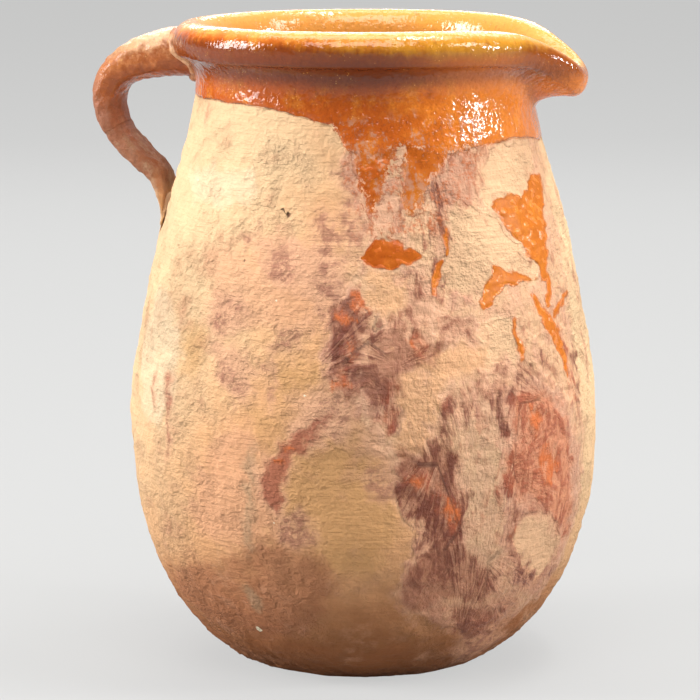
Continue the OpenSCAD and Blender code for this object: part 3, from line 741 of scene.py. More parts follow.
def bare_clay(finish):
    """The colour of the bare clay with its stains, and its height in millimetres: wiped, gritty, wheel-lined.
    Its colour also carries painted light and shade: partly painted shade towards the foot, partly painted
    light towards the top and both sides, painted shade in the pits and on its relief.
    """
    side = finish.node("ShaderNodeSeparateXYZ", None, {0: finish.place}, "X")
    height = finish.node("ShaderNodeSeparateXYZ", None, {0: finish.place}, "Z")
    broad = finish.noise(42, 3, 0.55, seed=1)
    patchy = finish.noise(13, 4, 0.6, seed=2)
    leather = finish.noise(4.4, 4, 0.55, (0.8, 0.8, 1), seed=3)
    scaly = finish.noise(2.2, 3, 0.6, (0.8, 0.8, 1), seed=5)
    fine = finish.noise(1.2, 4, 0.7, seed=6)
    wheel = finish.noise(1.3, 3, 0.65, (0.07, 0.07, 1), seed=4)
    ochre = finish.step(finish.value("ochre") + patchy * 12 + leather * 5, -4, 4.5)
    rugged = finish.step(broad * 1.4 + patchy, -0.16, 0.18) * 0.75 + 0.35
    # Browner towards the foot and creamier towards the top and both sides: partly the clay's own colour, partly painted
    # shade low down and painted light on the sides that the windows light
    up = finish.step(height + broad * 0.05 + patchy * 0.02, 0.008, 0.064)
    tint = finish.blend(base_brown_and_shade, peach_clay, up)
    tint = finish.blend(tint, cream_clay, finish.step(
        height + broad * 0.16 + patchy * 0.08 + side.size() * 1.5, 0.12, 0.26))
    tint = finish.blend(tint, blush_clay, finish.step(
        finish.value("blush") + patchy * 16 + broad * 14 + leather * 5, -4, 5) * 0.6)
    tint = finish.blend(tint, chalky_clay, finish.step(
        finish.value("chalk") + patchy * 12 + leather * 7 + fine * 5, -3, 4) * 0.45)
    tint = finish.blend(tint, ochre_clay, ochre * 0.6)
    tint = finish.blend(tint, terracotta, finish.step(
        finish.value("brown") + patchy * 20 + broad * 14 + leather * 6, -5, 6) * 0.75)
    tint = finish.blend(tint, ash_stain, finish.step(finish.value("ash") + patchy * 8 + fine * 5, -2.6, 2.6) * 0.5)
    tint = finish.blend(tint, film_pink, finish.step(finish.value("mauve") + patchy * 14 + leather * 5, -4.6, 3.4) * 0.75)
    bruise = finish.step(finish.value("purple") + patchy * 12, -4.2, 3.6)
    tint = finish.blend(tint, film_pink, bruise * 0.6)
    tint = finish.blend(tint, purple_stain, finish.step(
        fine * 0.7 + scaly * 0.7 - leather * 1.2 + bruise * 0.22, 0.04, 0.38) * bruise * 0.7)
    tint = finish.blend(tint, window_cream, finish.step(finish.value("cream") + fine * 3 + leather * 2, -0.6, 0.8) * 0.8)
    reddened = finish.step(finish.value("red") + patchy * 6, -3.8, 1.4)
    tint = finish.blend(tint, film_pink, reddened * 0.6)
    tint = finish.blend(tint, red_stain, finish.step(finish.value("red") + fine * 5 - leather * 3, -1.4, 2.4) * 0.75)
    tint = finish.blend(tint, orange_stain, finish.step(finish.value("orange") + fine * 5 + patchy * 3, -1.2, 2) * 0.9)
    speck = finish.step(finish.value("lime") + fine * 0.5, -0.15, 0.15)
    # The pits: a dent in the relief, and painted shade inside them
    pit = finish.step(finish.value("pit") + fine * 0.6, -0.3, 0.4)
    tint = finish.blend(finish.blend(tint, lime_white, speck), pit_shade, pit)
    # Lighter and darker with the same noises that raise the relief: painted shade of the relief, with some mottling
    tint = finish.shade(tint, 1 + fine * 0.3 + scaly * 0.16 + leather * 0.16 + wheel * 0.12 + patchy * 0.16)
    relief = (leather * 3.2 + scaly * 2.1 + fine * 1.1) * rugged + wheel * 0.65 + speck * 0.15 - pit * 1.2
    return tint, relief


def starved_film(finish, tint):
    """The thin film's colour over the clay's, how much of it there is, and its wrinkles: pink, tan and feathered,
    browner towards the foot as partly painted shade, and shaded with its relief as painted shade.
    """
    height = finish.node("ShaderNodeSeparateXYZ", None, {0: finish.place}, "Z")
    patchy = finish.noise(11, 4, 0.6, (1, 1, 0.6), seed=41)
    swirl = finish.noise(6.5, 5, 0.62, (1, 1, 0.5), seed=44, curl=1.3)
    leather = finish.noise(4.4, 4, 0.55, (0.8, 0.8, 1), seed=3)
    fine = finish.noise(1.4, 5, 0.7, seed=42)
    feather = finish.noise(2.8, 4, 0.6, (1, 1, 0.4), seed=43, curl=0.7)
    drawn = finish.node("ShaderNodeCombineXYZ", None, {
        0: finish.value("across") * MM, 1: finish.value("along") * MM, 2: 0.0})
    strokes = finish.noise(1.7, 3, 0.6, (1, 0.16, 1), seed=46, curl=0.5, place=drawn)
    fan = finish.step(finish.value("feathers") + patchy * 8, -1, 3)
    share = finish.step(finish.value("film") + patchy * 14 + swirl * 12 + fine * 6, -3.4, 3)
    dense = finish.step(finish.value("purple") + patchy * 12, -4, 3.6)
    frayed = finish.step(finish.value("frayed"), -3, 2)
    dark = finish.step(finish.value("dark") + patchy * 9 + swirl * 9 + strokes * 6 * fan, -3.4, 1.8)
    red = finish.step(finish.value("red") + patchy * 9 + swirl * 6 + strokes * 6 * fan, -3, 3)
    pale = finish.step(finish.value("peach") + patchy * 8 + swirl * 6, -2.5, 2.5)
    film = finish.blend(film_pink, film_tan, finish.step(patchy + swirl * 0.5, -0.14, 0.16))
    film = finish.blend(film, grey_stain, finish.step(finish.value("grey") + patchy * 14 + leather * 6, -4, 5) * 0.4)
    film = finish.blend(film, film_mid, finish.step(
        swirl * 1.2 + feather * 0.7 + dense * 0.24 - pale * 0.2, 0.0, 0.24) * 0.7)
    film = finish.blend(film, film_peach, pale * 0.7)
    film = finish.blend(film, film_brown, dark * 0.7)
    film = finish.blend(film, film_rust, red * 0.7)
    # Browner towards the foot: partly the film's colour, partly painted shade of the low wall
    low = 1 - finish.step(height + patchy * 0.03, 0.02, 0.062)
    film = finish.blend(film, film_brown, low * 0.6)
    film = finish.blend(film, film_dark, finish.step(
        swirl * 0.8 + feather * 0.6 + fine * 0.3 + dense * 0.14 + dark * 0.16 - pale * 0.15, 0.16, 0.4) * 0.7)
    film = finish.blend(film, film_red, finish.step(feather * 0.7 + swirl * 0.9 + red * 0.24, 0.16, 0.36) * 0.75)
    barbs = finish.step(strokes * 1.2 + swirl * 0.3 + dark * 0.05 + dense * 0.03, 0.05, 0.16) * fan
    film = finish.blend(film, finish.blend(film_dark, film_red, red), barbs * (dark * 0.45 + dense * 0.3 + red * 0.2 + 0.2))
    film = finish.blend(film, film_pink, finish.step(strokes * -1, 0.06, 0.17) * fan * (dark * 0.3 + red * 0.3))
    film = finish.blend(film, film_mauve, finish.step(dense + patchy * 1.5 + fine, 0.2, 0.8) * (1 - dark) * (1 - red) * 0.45)
    film = finish.blend(film, glaze_rust, finish.step(fine * 1.3 + feather * 0.9 + swirl * 0.5, -0.02, 0.22) * frayed * 0.8)
    film = finish.blend(film, orange_stain, finish.step(
        finish.value("orange") + fine * 5 + feather * 7 + swirl * 8, -1.8, 2.6) * 0.88)
    # Lighter and darker with the noises of the wrinkles and relief: painted shade of the relief, with some mottling
    film = finish.shade(film, 1 + fine * 0.34 + leather * 0.2 + patchy * 0.15)
    return finish.blend(tint, film, share), share, swirl * 1.3 + feather * 0.8 + fine * 0.6 + strokes * 0.7 * fan


def honey_glaze(finish, tint, strength):
    """The honey glaze's colour, lighter or darker by a strength, over a colour beneath it, and how much there is.
    Part of its colour is painted light and shade: brighter on the right, darker on the neck's middle and
    partly under the rim, pale along the crest, yellower inside, and painted gold glints.
    """
    side = finish.node("ShaderNodeSeparateXYZ", None, {0: finish.place}, "X")
    height = finish.node("ShaderNodeSeparateXYZ", None, {0: finish.place}, "Z")
    row = finish.value("row")
    patchy = finish.noise(9, 4, 0.6, seed=51)
    fine = finish.noise(1.4, 5, 0.7, seed=42)
    feather = finish.noise(2.8, 5, 0.68, (1, 1, 0.4), seed=43, curl=0.7)
    glint_cells = finish.cells(1.5, 53)
    frayed = finish.step(finish.value("frayed"), -3, 2)
    share = finish.step(finish.value("glaze") + (fine * 14 + feather * 12 + patchy * 8) * (frayed * 0.93 + 0.07)
                        - frayed * 0.6, -0.4 - frayed * 0.5, 0.4 + frayed * 0.8)
    glaze = finish.blend(glaze_orange, glaze_bright, finish.step(patchy + fine * 0.6, -0.04, 0.3))
    glaze = finish.blend(glaze, glaze_brown, finish.step(patchy * -1 + fine * 0.8, 0.05, 0.34) * 0.6)
    # Painted light: brighter on the right side, where the right window falls
    glaze = finish.blend(glaze, glaze_bright, finish.step(side + patchy * 0.06, 0.005, 0.06) * 0.6)
    glaze = finish.blend(glaze, glaze_brown, finish.step(fine * 1.2 + feather, -0.06, 0.26) * frayed * 0.5)
    glaze = finish.blend(glaze, film_mauve, finish.step(feather * 1.1 + patchy * 1.2 + fine * 0.8, 0.02, 0.28) * frayed * 0.7)
    band = finish.step(height + patchy * 0.004, 0.2385, 0.243)
    glaze = finish.blend(glaze, glaze_olive, band * finish.step(side + patchy * 0.12, -0.06, 0.05) * 0.8)
    lefty = 1 - finish.step(side, -0.02, 0.04)
    drip = finish.noise(2.4, 3, 0.6, (1, 1, 0.12), seed=54)
    # Brown under the rim band: partly glaze pooled there, partly painted shade of the band's underside, reaching higher
    # on the left and fading towards the lip
    pooled_and_shade = finish.step(height + patchy * 0.004, 0.2265, 0.2335) * (1 - finish.step(
        height + patchy * 0.004 + drip * 0.006 - lefty * 0.0028, 0.2405, 0.2455))
    glaze = finish.blend(glaze, glaze_brown, pooled_and_shade * (0.9 - finish.step(side, 0.02, 0.05) * 0.4 + finish.step(side, 0.06, 0.07) * 0.3))
    glaze = finish.blend(glaze, glaze_brown, finish.step(drip + fine * 0.4, 0.05, 0.22) * band * 0.45)
    # Painted shade: darker on the neck's middle, in the shadow of the rim
    glaze = finish.blend(glaze, glaze_brown, finish.step(side + patchy * 0.03, -0.058, -0.012)
                         * (1 - finish.step(side + patchy * 0.03, 0.014, 0.042))
                         * finish.step(height + patchy * 0.01, 0.206, 0.224) * (1 - band) * 0.45)
    # Yellower inside the throat: partly the inner glaze's colour, partly painted light of the brightly lit inner wall
    glaze = finish.blend(glaze, glaze_yellow_and_glare, finish.step(row, crest_row + 1.0, crest_row + 7.0) * 0.6)
    # Painted highlight: pale along the crest, where the glaze also thins
    glaze = finish.blend(glaze, crest_glare_pale, finish.step(row + patchy * 3 + fine * 3, crest_row - 9.0, crest_row - 3.0)
                         * (1 - finish.step(row + patchy * 4, crest_row + 2.0, crest_row + 8.0)) * 0.75)
    glaze = finish.blend(glaze, glaze_brown, finish.step(fine * 1.4 - patchy, 0.1, 0.34) * finish.step(row, crest_row - 12.0, crest_row) * 0.35)
    # Painted glints: gold sparkles in clusters
    glaze = finish.blend(glaze, painted_glint_gold, (1 - finish.step(glint_cells + fine * 0.5, 0.10, 0.2))
                         * finish.step(patchy + fine * 0.5, 0.0, 0.14) * 0.6)
    glaze = finish.blend(glaze, glaze_brown, (1 - finish.step(finish.value("glaze") + fine * 2, -0.2, 1.3)) * 0.4)
    glaze = finish.shade(glaze, (1 + fine * 0.45) * strength)
    return finish.blend(tint, glaze, share), share


def fired_look(finish, piece, bump, gloss, shine, strength=1.0):
    """The clay, and over it the film and the glaze wherever a piece has them, as one fired skin."""
    tint, relief = bare_clay(finish)
    tint, filmed, wrinkles = starved_film(finish, tint)
    tint, glazed = honey_glaze(finish, tint, strength)
    height = finish.node("ShaderNodeSeparateXYZ", None, {0: finish.place}, "Z")
    rough = finish.noise(5, 3, seed=8) * 0.16 + 0.88
    rough = rough - filmed * (0.30 + finish.noise(1.1, 3, 0.7, seed=9) * 0.9)
    relief = relief * (1 - filmed * 0.4) + filmed * wrinkles
    pocks = finish.step(finish.cells(2.2, 11) + finish.noise(1.4, 5, 0.7, seed=42) * 0.4, 0.1, 0.3)
    calm = 1 - finish.step(height, 0.234, 0.24) * 0.4
    wavy = finish.noise(6, 3, 0.5, seed=12) * 0.65 + finish.noise(2.4, 2, 0.5, seed=13) * 0.6 + pocks * 0.1
    rough = rough * (1 - glazed) + glazed * gloss
    relief = relief * (1 - glazed) + wavy * glazed * calm
    finish.give(piece, base_color=tint, roughness=rough, specular_ior_level=shine,
                normal=finish.bump(relief, 1.0, bump))


fired_look(Finish("bare_clay"), pot, 1.0, 0.2, 0.3)
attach(pot, "root")
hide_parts("vessel")

# Starved glaze film: a thin, dry skin of glaze that ran down the front of the pot and burned to pink and
# purple-brown, fused to the clay and only a sixth of a millimetre thick, with bare windows in it.
film_t = 0.16


def choose_points(piece, chosen):
    """Selects some of a piece's points, and nothing else."""
    bpy.ops.object.select_all(action="DESELECT")
    piece.select_set(True)
    bpy.context.view_layer.objects.active = piece
    bpy.ops.object.mode_set(mode="EDIT")
    bpy.ops.mesh.select_mode(type="VERT")
    bpy.ops.mesh.select_all(action="DESELECT")
    bpy.ops.object.mode_set(mode="OBJECT")
    piece.data.vertices.foreach_set("select", np.asarray(chosen, bool))
    bpy.ops.object.mode_set(mode="EDIT")


def cut_copy(name, source, kept, cuts):
    """A copy of the part of a piece that is kept, with its grid cut finer."""
    bpy.ops.object.select_all(action="DESELECT")
    source.select_set(True)
    bpy.context.view_layer.objects.active = source
    bpy.ops.object.duplicate()
    copy = bpy.context.object
    copy.parent = None
    copy.name = copy.data.name = name
    for key in list(copy.keys()):
        del copy[key]
    choose_points(copy, ~kept)
    bpy.ops.mesh.delete(type="VERT")
    if cuts:
        bpy.ops.mesh.select_all(action="SELECT")
        bpy.ops.mesh.subdivide(number_cuts=cuts)
    bpy.ops.object.mode_set(mode="OBJECT")
    return copy


def trim_to_edge(piece, kind, first, second):
    """Cuts a piece where a kind's value falls below zero, and draws its edge points on to the zero line."""
    sides = np.zeros(len(piece.data.edges) * 2, np.int32)
    piece.data.edges.foreach_get("vertices", sides)
    sides = sides.reshape(-1, 2)
    inside_it = read_value(piece, kind)
    across = inside_it[sides[:, 0]] * inside_it[sides[:, 1]] < 0
    ends = sides[across]
    out = np.where(inside_it[ends[:, 0]] < 0, ends[:, 0], ends[:, 1])
    kept = np.where(inside_it[ends[:, 0]] < 0, ends[:, 1], ends[:, 0])
    share = inside_it[out] / (inside_it[out] - inside_it[kept])
    count = np.bincount(out, minlength=len(inside_it))
    for name in (first, second):
        values = read_value(piece, name)
        drawn_in = np.bincount(out, values[out] + (values[kept] - values[out]) * share, len(values))
        write_value(piece, name, np.where(count > 0, drawn_in / np.maximum(count, 1), values))
    write_value(piece, kind, np.where(count > 0, 0, inside_it))
    choose_points(piece, (inside_it < 0) & (count == 0))
    bpy.ops.mesh.delete(type="VERT")
    bpy.ops.mesh.select_all(action="SELECT")
    bpy.ops.mesh.delete_loose()
    bpy.ops.object.mode_set(mode="OBJECT")


def thicken(piece, thickness):
    """Gives a sheet its thickness, inwards."""
    bpy.ops.object.select_all(action="DESELECT")
    piece.select_set(True)
    bpy.context.view_layer.objects.active = piece
    wall = piece.modifiers.new("wall", "SOLIDIFY")
    wall.thickness = thickness * MM
    wall.offset = -1
    bpy.ops.object.modifier_apply(modifier=wall.name)
    bpy.ops.object.shade_smooth()


def soft_step(value, low, high):
    """A soft step from 0 to 1 as a value goes from low to high."""
    share = np.clip((value - low) / (high - low), 0, 1)
    return share * share * (3 - 2 * share)


def coat_of_glaze(name, kind, full_t, edge_t, swell, cuts, smooth):
    """A coat where a kind's value is above zero: thin at its edge, full a swell away, and smoothing the grit."""
    coat = cut_copy(name, pot, read_value(pot, kind) > -3, cuts)
    if cuts:
        write_stains(coat, read_value(coat, "row"), read_value(coat, "angle"))
    trim_to_edge(coat, kind, "row", "angle")
    row, angle = read_value(coat, "row"), read_value(coat, "angle")
    full = soft_step(read_value(coat, kind), 0, swell)
    raised = edge_t + (full_t - edge_t) * full + clay_relief(row, angle, 1 - smooth * full)
    write_points(coat, (wall_place(row, angle) + wall_normal(row, angle) * raised[:, None]) * MM)
    thicken(coat, edge_t * 1.5)
    return coat


film = coat_of_glaze("starved_film", "film", film_t, 0.05, 3, 1, 0)
fired_look(Finish("starved_film"), film, 1.0, 0.3, 0.4)
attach(film, "root")
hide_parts("glaze_wash")

# Glaze runs: thick tongues, spills and streaks of honey glaze below the dipped collar, still glassy, each
# standing a quarter of a millimetre proud with a thin edge.
run_t = 0.24
runs = coat_of_glaze("orange_runs", "runs", run_t, 0.07, 1.8, 2, 0.9)
fired_look(Finish("orange_runs"), runs, 0.2, 0.4, 0.1, 0.78)
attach(runs, "root")
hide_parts("glaze_runs")

# Glaze collar: the pitcher's rim, neck, lip and throat were dipped upside down in honey glaze, tilted, so its
# lower edge falls from the handle's side to the front. It pooled olive on the band and brown under the rim, where
# the brown is partly painted shade; the neck's middle carries painted shade and its right side painted light.
collar_t = 0.44
collar = coat_of_glaze("glaze_collar", "collar", collar_t, 0.10, 1.6, 0, 0.7)
fired_look(Finish("collar_glaze"), collar, 0.85, 0.07, 0.5)
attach(collar, "root")
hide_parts("collar_glaze")

# Lining: the yellow glaze that was poured in and swilled round, from the floor up to the throat.
lining_t = 0.4
lining_tail_row = root_in_row - 1
lining = cut_copy("yellow_lining", pot, pot_row >= lining_tail_row, 0)
lining_row, lining_angle = read_value(lining, "row"), read_value(lining, "angle")
lining_place = wall_place(lining_row, lining_angle)
lining_normal = wall_normal(lining_row, lining_angle)
lining_normal[lining_row > first_rows[-2]] = (0, 0, 1)
finger_rings = 0.25 * np.sin(lining_place[:, 2] / 1.35 + 2.2 * lumps(lining_place, 70, 61)) + 0.3
lining_raised = lining_t + finger_rings * soft_step(lining_row, lining_tail_row, root_in_row + 3)
write_points(lining, (lining_place + lining_normal * lining_raised[:, None]) * MM)
thicken(lining, lining_t * 0.7)
lining_look = Finish("yellow_lining")
lining_patchy = lining_look.noise(16, 4, 0.6, seed=62)
lining_fine = lining_look.noise(1.8, 5, 0.7, seed=63)
lining_tint = lining_look.blend(colour(200, 128, 44), colour(222, 164, 62), lining_look.step(lining_patchy, -0.15, 0.2))
lining_tint = lining_look.blend(lining_tint, glaze_brown, lining_look.step(lining_patchy * -1 + lining_fine * 0.7, 0.1, 0.4) * 0.6)
lining_look.give(lining, base_color=lining_look.shade(lining_tint, 1 + lining_fine * 0.3), roughness=0.3,
                 specular_ior_level=0.22,
                 normal=lining_look.bump(lining_look.noise(5, 3, 0.5, seed=64) * 0.5 + lining_fine * 0.12, 1.0, 0.6))
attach(lining, "root")
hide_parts("lining_glaze")

# Handle: a strap pulled from a lump of the same clay, thick where it springs from the rim and thin where its
# tail is wiped on to the shoulder, with the lumps and lengthwise ridges that the wet hand left.
strap_top_t = 21
strap_mid_t = 11
strap_low_t = 9
tail_t = 0.9
strap_w = 28
tail_w = 33
strap_rows = 190
strap_sides = 84
strap_first = 0.05


def beside(drop, out):
    """A point in the handle's plane, beside the wall at a drop below the crest."""
    return np.array([-np.interp(crest_z - drop, low_line[:, 1], low_line[:, 0]) - out, crest_z - drop])


strap_start = np.array([-neck_r + neck_wall / 2, crest_z - 12.8])
strap_far = np.array([-neck_r - 36.4, crest_z - 32])
strap_join = beside(58, 10.6)
strap_curves = np.array([
    [strap_start, moved(strap_start, -23, 2), moved(strap_far, 0, 14), strap_far],
    [strap_far, moved(strap_far, 0, -10.5), moved(strap_join, -9, 8.5), strap_join],
    [strap_join, moved(strap_join, 4.5, -4.3), beside(72, -2), beside(85, -0.6)]])


def strap_middle(s):
    """The strap's middle line, s from 0 at the rim to 3 at the tail's end."""
    s = np.clip(s, 0, 3)
    k = np.minimum(s.astype(int), 2)
    t = s - k
    shares = np.stack([(1 - t) ** 3, 3 * (1 - t) ** 2 * t, 3 * (1 - t) * t * t, t ** 3], -1)
    return (strap_curves[k] * shares[..., None]).sum(1)


def strap_place(s, turn, grown):
    """Places on the strap's skin, turn in degrees round its section, grown outwards by millimetres."""
    middle = strap_middle(s)
    along = strap_middle(s + 0.02) - strap_middle(s - 0.02)
    across = np.stack([along[:, 1], -along[:, 0]], -1) / np.linalg.norm(along, axis=1, keepdims=True)
    thick = np.interp(s, [0, 1, 2, 3], [strap_top_t, strap_mid_t, strap_low_t, tail_t]) / 2 + grown
    wide = np.interp(s, [0, 1.9, 2.5, 3], [strap_w, strap_w, tail_w, tail_w * 0.6]) / 2 + grown
    up, out = np.sin(np.radians(turn)), np.cos(np.radians(turn))
    up = np.sign(up) * np.abs(up) ** 0.72 * thick
    out = np.sign(out) * np.abs(out) ** 0.72 * wide
    return np.stack([middle[:, 0] + across[:, 0] * up, out, middle[:, 1] + across[:, 1] * up], -1)


def strap_relief(s, turn):
    """Millimetres that lumps and ridges raise the strap over its drawn skin."""
    places = strap_place(s, turn, 0)
    ridges = 0.16 * np.sin(np.radians(turn * 3 + 25 * lumps(places, 45, 71))) + 0.08 * np.sin(np.radians(turn * 7 + 40))
    rough = 0.20 * lumps(places, 15, 72) + 0.12 * lumps(places, 6, 73) + 0.09 * lumps(places, 3.2, 74)
    return (ridges + rough - 0.7) * np.interp(s, [0, 0.2, 2.6, 3], [0.6, 1, 1, 0.3])


def pulled_tube(name, sides, rows):
    """A tube of rings, one millimetre apart, pulled out of a circle, with its row and turn kept on its points."""
    bpy.ops.object.select_all(action="DESELECT")
    bpy.ops.mesh.primitive_circle_add(vertices=sides, radius=1, location=(0, 0, 0))
    tube = bpy.context.object
    tube.name = tube.data.name = name
    bpy.ops.object.mode_set(mode="EDIT")
    bpy.ops.mesh.select_all(action="SELECT")
    for _ in range(rows):
        bpy.ops.mesh.extrude_region_move(TRANSFORM_OT_translate={"value": (0, 0, 1)})
    bpy.ops.object.mode_set(mode="OBJECT")
    points = read_points(tube)
    write_value(tube, "row", np.round(points[:, 2]))
    write_value(tube, "turn", np.degrees(np.arctan2(points[:, 1], points[:, 0])))
    return tube


handle = pulled_tube("strap_handle", strap_sides, strap_rows)
handle_s = strap_first + read_value(handle, "row") * (3 - strap_first) / strap_rows
handle_turn = read_value(handle, "turn")
write_value(handle, "along", handle_s)
write_value(handle, "outer", np.sin(np.radians(handle_turn)))
choose_points(handle, np.zeros(len(handle_s)))
bpy.ops.mesh.select_all(action="DESELECT")
bpy.ops.mesh.select_non_manifold()
bpy.ops.mesh.edge_face_add()
bpy.ops.object.mode_set(mode="OBJECT")
write_points(handle, strap_place(handle_s, handle_turn, strap_relief(handle_s, handle_turn)) * MM)
bpy.ops.object.mode_set(mode="EDIT")
bpy.ops.mesh.select_all(action="SELECT")
bpy.ops.mesh.normals_make_consistent(inside=False)
bpy.ops.object.mode_set(mode="OBJECT")
bpy.ops.object.shade_smooth()


def strap_look(finish, piece, bump):
    """The strap's fired skin: honey glaze on its upper half, thinning to bare, chalky clay towards the tail,
    with a painted highlight along its top near the rim and painted gold glints on the glaze.
    """
    along = finish.value("along")
    outer = finish.value("outer")
    patchy = finish.noise(9, 4, 0.6, seed=81)
    fine = finish.noise(2.0, 5, 0.7, seed=82)
    chalky = finish.noise(5, 4, 0.65, seed=83)
    grain = finish.noise(0.9, 3, 0.7, seed=85)
    tint = finish.blend(colour(178, 120, 88), colour(150, 90, 58), finish.step(patchy, -0.15, 0.15))
    tint = finish.blend(tint, colour(178, 144, 114), finish.step(chalky + patchy * 0.5 + grain * 0.5, -0.1, 0.26)
                        * finish.step(along + patchy, 0.8, 1.3) * 0.75)
    tint = finish.blend(tint, colour(128, 84, 60), finish.step(patchy * -1 + grain, 0.06, 0.2)
                        * finish.step(along, 1.5, 1.9) * (1 - finish.step(along, 2.2, 2.5)) * 0.6)
    tint = finish.blend(tint, cream_clay, finish.step(along + patchy * 0.7, 2.1, 2.8))
    share = 1 - finish.step(along + patchy * 0.9 + fine * 0.5, 0.75, 1.2)
    stained = 1 - finish.step(along + patchy * 0.9, 1.2, 1.8)
    tint = finish.blend(tint, colour(160, 90, 56), stained * 0.7)
    glaze = finish.blend(colour(172, 92, 44), colour(206, 124, 62), finish.step(patchy + fine * 0.5, -0.1, 0.3))
    glaze = finish.blend(glaze, colour(134, 74, 42), finish.step(patchy * -1 + fine * 0.6, 0.0, 0.3) * 0.7)
    # Painted highlight: pale along the top of the strap near the rim
    glaze = finish.blend(glaze, colour(236, 196, 152), finish.step(outer + patchy * 2 + fine, -0.1, 0.9)
                         * (1 - finish.step(along + patchy * 0.6, 0.3, 0.8)) * 0.8)
    # Painted glints: gold specks, a little more on the outer side
    glaze = finish.blend(glaze, colour(238, 190, 118), finish.step(grain + fine * 0.5 + outer * 0.06, 0.14, 0.26) * 0.6)
    tint = finish.shade(finish.blend(tint, glaze, share), 1 + fine * 0.35 + grain * 0.2)
    rough = 0.8 - share * 0.6 - stained * (1 - share) * 0.25
    relief = (fine * 1.4 * (1 - share * 0.7) + finish.noise(4, 3, 0.6, seed=84) * (1.3 - share * 0.5)
              + grain * (0.5 - share * 0.2))
    finish.give(piece, base_color=tint, roughness=rough, normal=finish.bump(relief, 1.0, bump))


strap_look(Finish("strap_clay"), handle, 0.8)
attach(handle, "root")
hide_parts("handle")

# Handle glaze: the same honey glaze, brushed by the dip over the upper half of the strap.
strap_glaze_t = 0.42
strap_glazed = 1.4
handle_glaze = cut_copy("strap_glaze", handle, handle_s < strap_glazed, 0)
glazed_s = read_value(handle_glaze, "along")
glazed_turn = read_value(handle_glaze, "turn")
glazed_up = strap_relief(glazed_s, glazed_turn) + 0.05 + (strap_glaze_t - 0.05) * soft_step(strap_glazed - glazed_s, 0, 0.2)
write_points(handle_glaze, strap_place(glazed_s, glazed_turn, glazed_up) * MM)
thicken(handle_glaze, 0.12)
strap_look(Finish("strap_glaze"), handle_glaze, 0.6)
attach(handle_glaze, "root")
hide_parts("handle_glaze")

# Luting slip: beads of wet clay pressed round both ends of the strap to join it to the rim and shoulder.
outer_rows = np.linspace(foot_row, crest_row, 600)
outer_line = wall_line(outer_rows, np.full(600, 180.0))


def joint_line(first_s, last_s, turns, leaving):
    """Where the strap's skin leaves the wall or meets it, one place for each turn round its section."""
    tries = np.linspace(first_s, last_s, 160)
    places = []
    for turn in turns:
        skin = strap_place(tries, np.full(160, turn), -0.5)
        gap = np.hypot(skin[:, 0], skin[:, 1]) - np.interp(skin[:, 2], outer_line[:, 1], outer_line[:, 0])
        met = np.flatnonzero(gap > 0.2 if leaving else gap < 0.2)
        places.append(skin[met[0] if len(met) else -1])
    return np.array(places)


def slip_bead(name, first_s, last_s, leaving, top_radius, low_radius, seed):
    """A lumpy ring of slip round the strap where it meets the wall."""
    rings, sides = 150, 20
    bead = pulled_tube(name, sides, rings)
    ring, turn = read_value(bead, "row"), np.radians(read_value(bead, "turn"))
    line = joint_line(first_s, last_s, np.arange(rings) * 360 / rings, leaving)
    for _ in range(6):
        line = (np.roll(line, 1, axis=0) + line + np.roll(line, -1, axis=0)) / 3
    along = np.roll(line, -1, axis=0) - np.roll(line, 1, axis=0)
    along /= np.linalg.norm(along, axis=1, keepdims=True)
    out = line - line.mean(0)
    out -= (out * along).sum(1, keepdims=True) * along
    out /= np.linalg.norm(out, axis=1, keepdims=True)
    third = np.cross(along, out)
    k = ring.astype(int) % rings
    high = np.clip((line[:, 2] - line[:, 2].min()) / np.ptp(line[:, 2]), 0, 1)
    radius = (low_radius + (top_radius - low_radius) * high)[k]
    radius = radius * (1 + 0.22 * lumps(line, 9, seed)[k] + 0.1 * lumps(line[k] + np.stack([turn, turn, turn], -1), 4, seed + 1))
    places = line[k] + radius[:, None] * (out[k] * np.cos(turn)[:, None] + third[k] * np.sin(turn)[:, None])
    write_points(bead, places * MM)
    bpy.ops.object.mode_set(mode="EDIT")
    bpy.ops.mesh.select_all(action="SELECT")
    bpy.ops.mesh.remove_doubles(threshold=0.01 * MM)
    bpy.ops.mesh.normals_make_consistent(inside=False)
    bpy.ops.object.mode_set(mode="OBJECT")
    bpy.ops.object.shade_smooth()
    write_value(bead, "along", np.full(len(bead.data.vertices), first_s))
    # A middling outer value gives the bead part of the strap's painted top highlight
    write_value(bead, "outer", np.full(len(bead.data.vertices), 0.4))
    return bead


top_bead = slip_bead("top_slip_bead", 0.02, 0.9, True, 0.9, 2.1, 91)
strap_look(Finish("glazed_slip"), top_bead, 0.7)
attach(top_bead, "root")
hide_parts("top_luting_slip")
tail_bead = slip_bead("tail_slip_bead", 1.8, 3, False, 1.3, 0.4, 95)
write_value(tail_bead, "along", np.full(len(tail_bead.data.vertices), 2.7))
strap_look(Finish("bare_slip"), tail_bead, 0.8)
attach(tail_bead, "root")
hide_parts("tail_luting_slip")

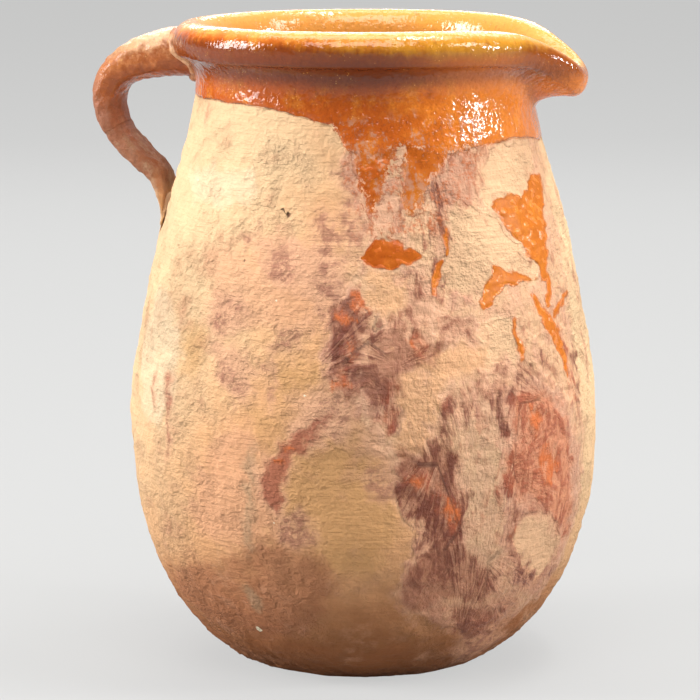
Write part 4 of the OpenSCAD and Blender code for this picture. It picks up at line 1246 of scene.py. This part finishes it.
# Floor, backdrop and lights: a plain pale sweep, soft panels above, in front and behind, a window at the far
# left, a smaller one at the right that glints on the neck, and a high pane on each side that the throat mirrors.
sweep_depth = 4.5
sweep_front = 7.5
sweep_width = 7.5
sweep_height = 2.4
sweep_bend = 0.6
bpy.ops.object.select_all(action="DESELECT")
bpy.ops.mesh.primitive_plane_add(size=1, location=(0, (sweep_depth - sweep_front) / 2, 0))
sweep = bpy.context.object
sweep.name = sweep.data.name = "sweep"
bpy.ops.object.mode_set(mode="EDIT")
bpy.ops.mesh.select_all(action="SELECT")
bpy.ops.transform.resize(value=(2 * sweep_width, sweep_front + sweep_depth, 1))
bpy.ops.mesh.select_all(action="DESELECT")
bpy.ops.object.mode_set(mode="OBJECT")
for side in sweep.data.edges:
    side.select = all(sweep.data.vertices[v].co.y > 0 for v in side.vertices)
bpy.ops.object.mode_set(mode="EDIT")
bpy.ops.mesh.select_mode(type="EDGE")
bend_steps = 12
for k in range(bend_steps):
    turn = math.pi / 2 * (k + 0.5) / bend_steps
    length = sweep_bend * math.pi / 2 / bend_steps
    bpy.ops.mesh.extrude_region_move(
        TRANSFORM_OT_translate={"value": (0, length * math.cos(turn), length * math.sin(turn))})
bpy.ops.mesh.extrude_region_move(TRANSFORM_OT_translate={"value": (0, 0, sweep_height)})
bpy.ops.object.mode_set(mode="OBJECT")
bpy.ops.object.shade_smooth()
paper = Finish("pale_paper")
paper.give(sweep, base_color=colour(160, 160, 159), roughness=0.9, specular_ior_level=0.2)
rays = [paper.node("ShaderNodeLightPath", output=kind) for kind in
        ("Is Camera Ray", "Is Glossy Ray", "Is Transmission Ray")]
seen = paper.node("ShaderNodeClamp", None, {0: rays[0] + rays[1] + rays[2]}) * 0.66
glow = paper.node("ShaderNodeEmission", None, {"Color": colour(236, 236, 235), "Strength": 1.0})
lit = Wire(paper, paper.shader.outputs["BSDF"])
mixed = paper.node("ShaderNodeMixShader", None, {0: seen, 1: lit, 2: glow})
paper.tree.links.new(mixed.socket, paper.tree.nodes["Material Output"].inputs["Surface"])


def soft_light(name, place, aim, size, power):
    """A flat soft lamp at a place, aimed at a point."""
    bpy.ops.object.light_add(type="AREA", location=place)
    lamp = bpy.context.object
    lamp.name = name
    lamp.data.shape = "RECTANGLE"
    lamp.data.size, lamp.data.size_y = size
    lamp.data.energy = power
    way = np.array(aim) - np.array(place)
    lamp.rotation_euler = (math.acos(-way[2] / np.linalg.norm(way)), 0, math.atan2(way[1], way[0]) - math.pi / 2)
    return lamp


soft_light("left_window", (-1.75, -0.47, 0.75), (0, 0, 0.12), (0.7, 0.9), 30.5)
soft_light("left_pane", (-1.46, -0.51, 1.10), (0, 0, 0.25), (0.5, 0.36), 6)
soft_light("right_window", (1.65, 0.05, 0.62), (0, 0, 0.14), (0.22, 0.22), 15)
soft_light("right_pane", (1.41, -0.26, 1.16), (0, 0, 0.25), (0.5, 0.36), 7)
soft_light("front_panel", (0.1, -0.95, 1.5), (0, 0, 0.2), (1.5, 0.7), 17)
soft_light("top_panel", (0, 0.15, 1.7), (0, 0, 0.25), (1.8, 0.6), 12)
soft_light("roof_pane", (0.42, 0.12, 1.62), (0, 0, 0.25), (0.6, 0.16), 8)
soft_light("back_panel", (0, 1.9, 2.1), (0, 0, 0.15), (2.4, 0.8), 20)
soft_light("back_window", (-0.35, 1.6, 0.95), (0, 0, 0.25), (1.1, 0.36), 8)
world = bpy.data.worlds.new("studio")
bpy.context.scene.world = world
world.use_nodes = True
world.node_tree.nodes["Background"].inputs["Color"].default_value = (1, 1, 1, 1)
world.node_tree.nodes["Background"].inputs["Strength"].default_value = 0.12
bpy.context.scene.view_settings.view_transform = "Standard"
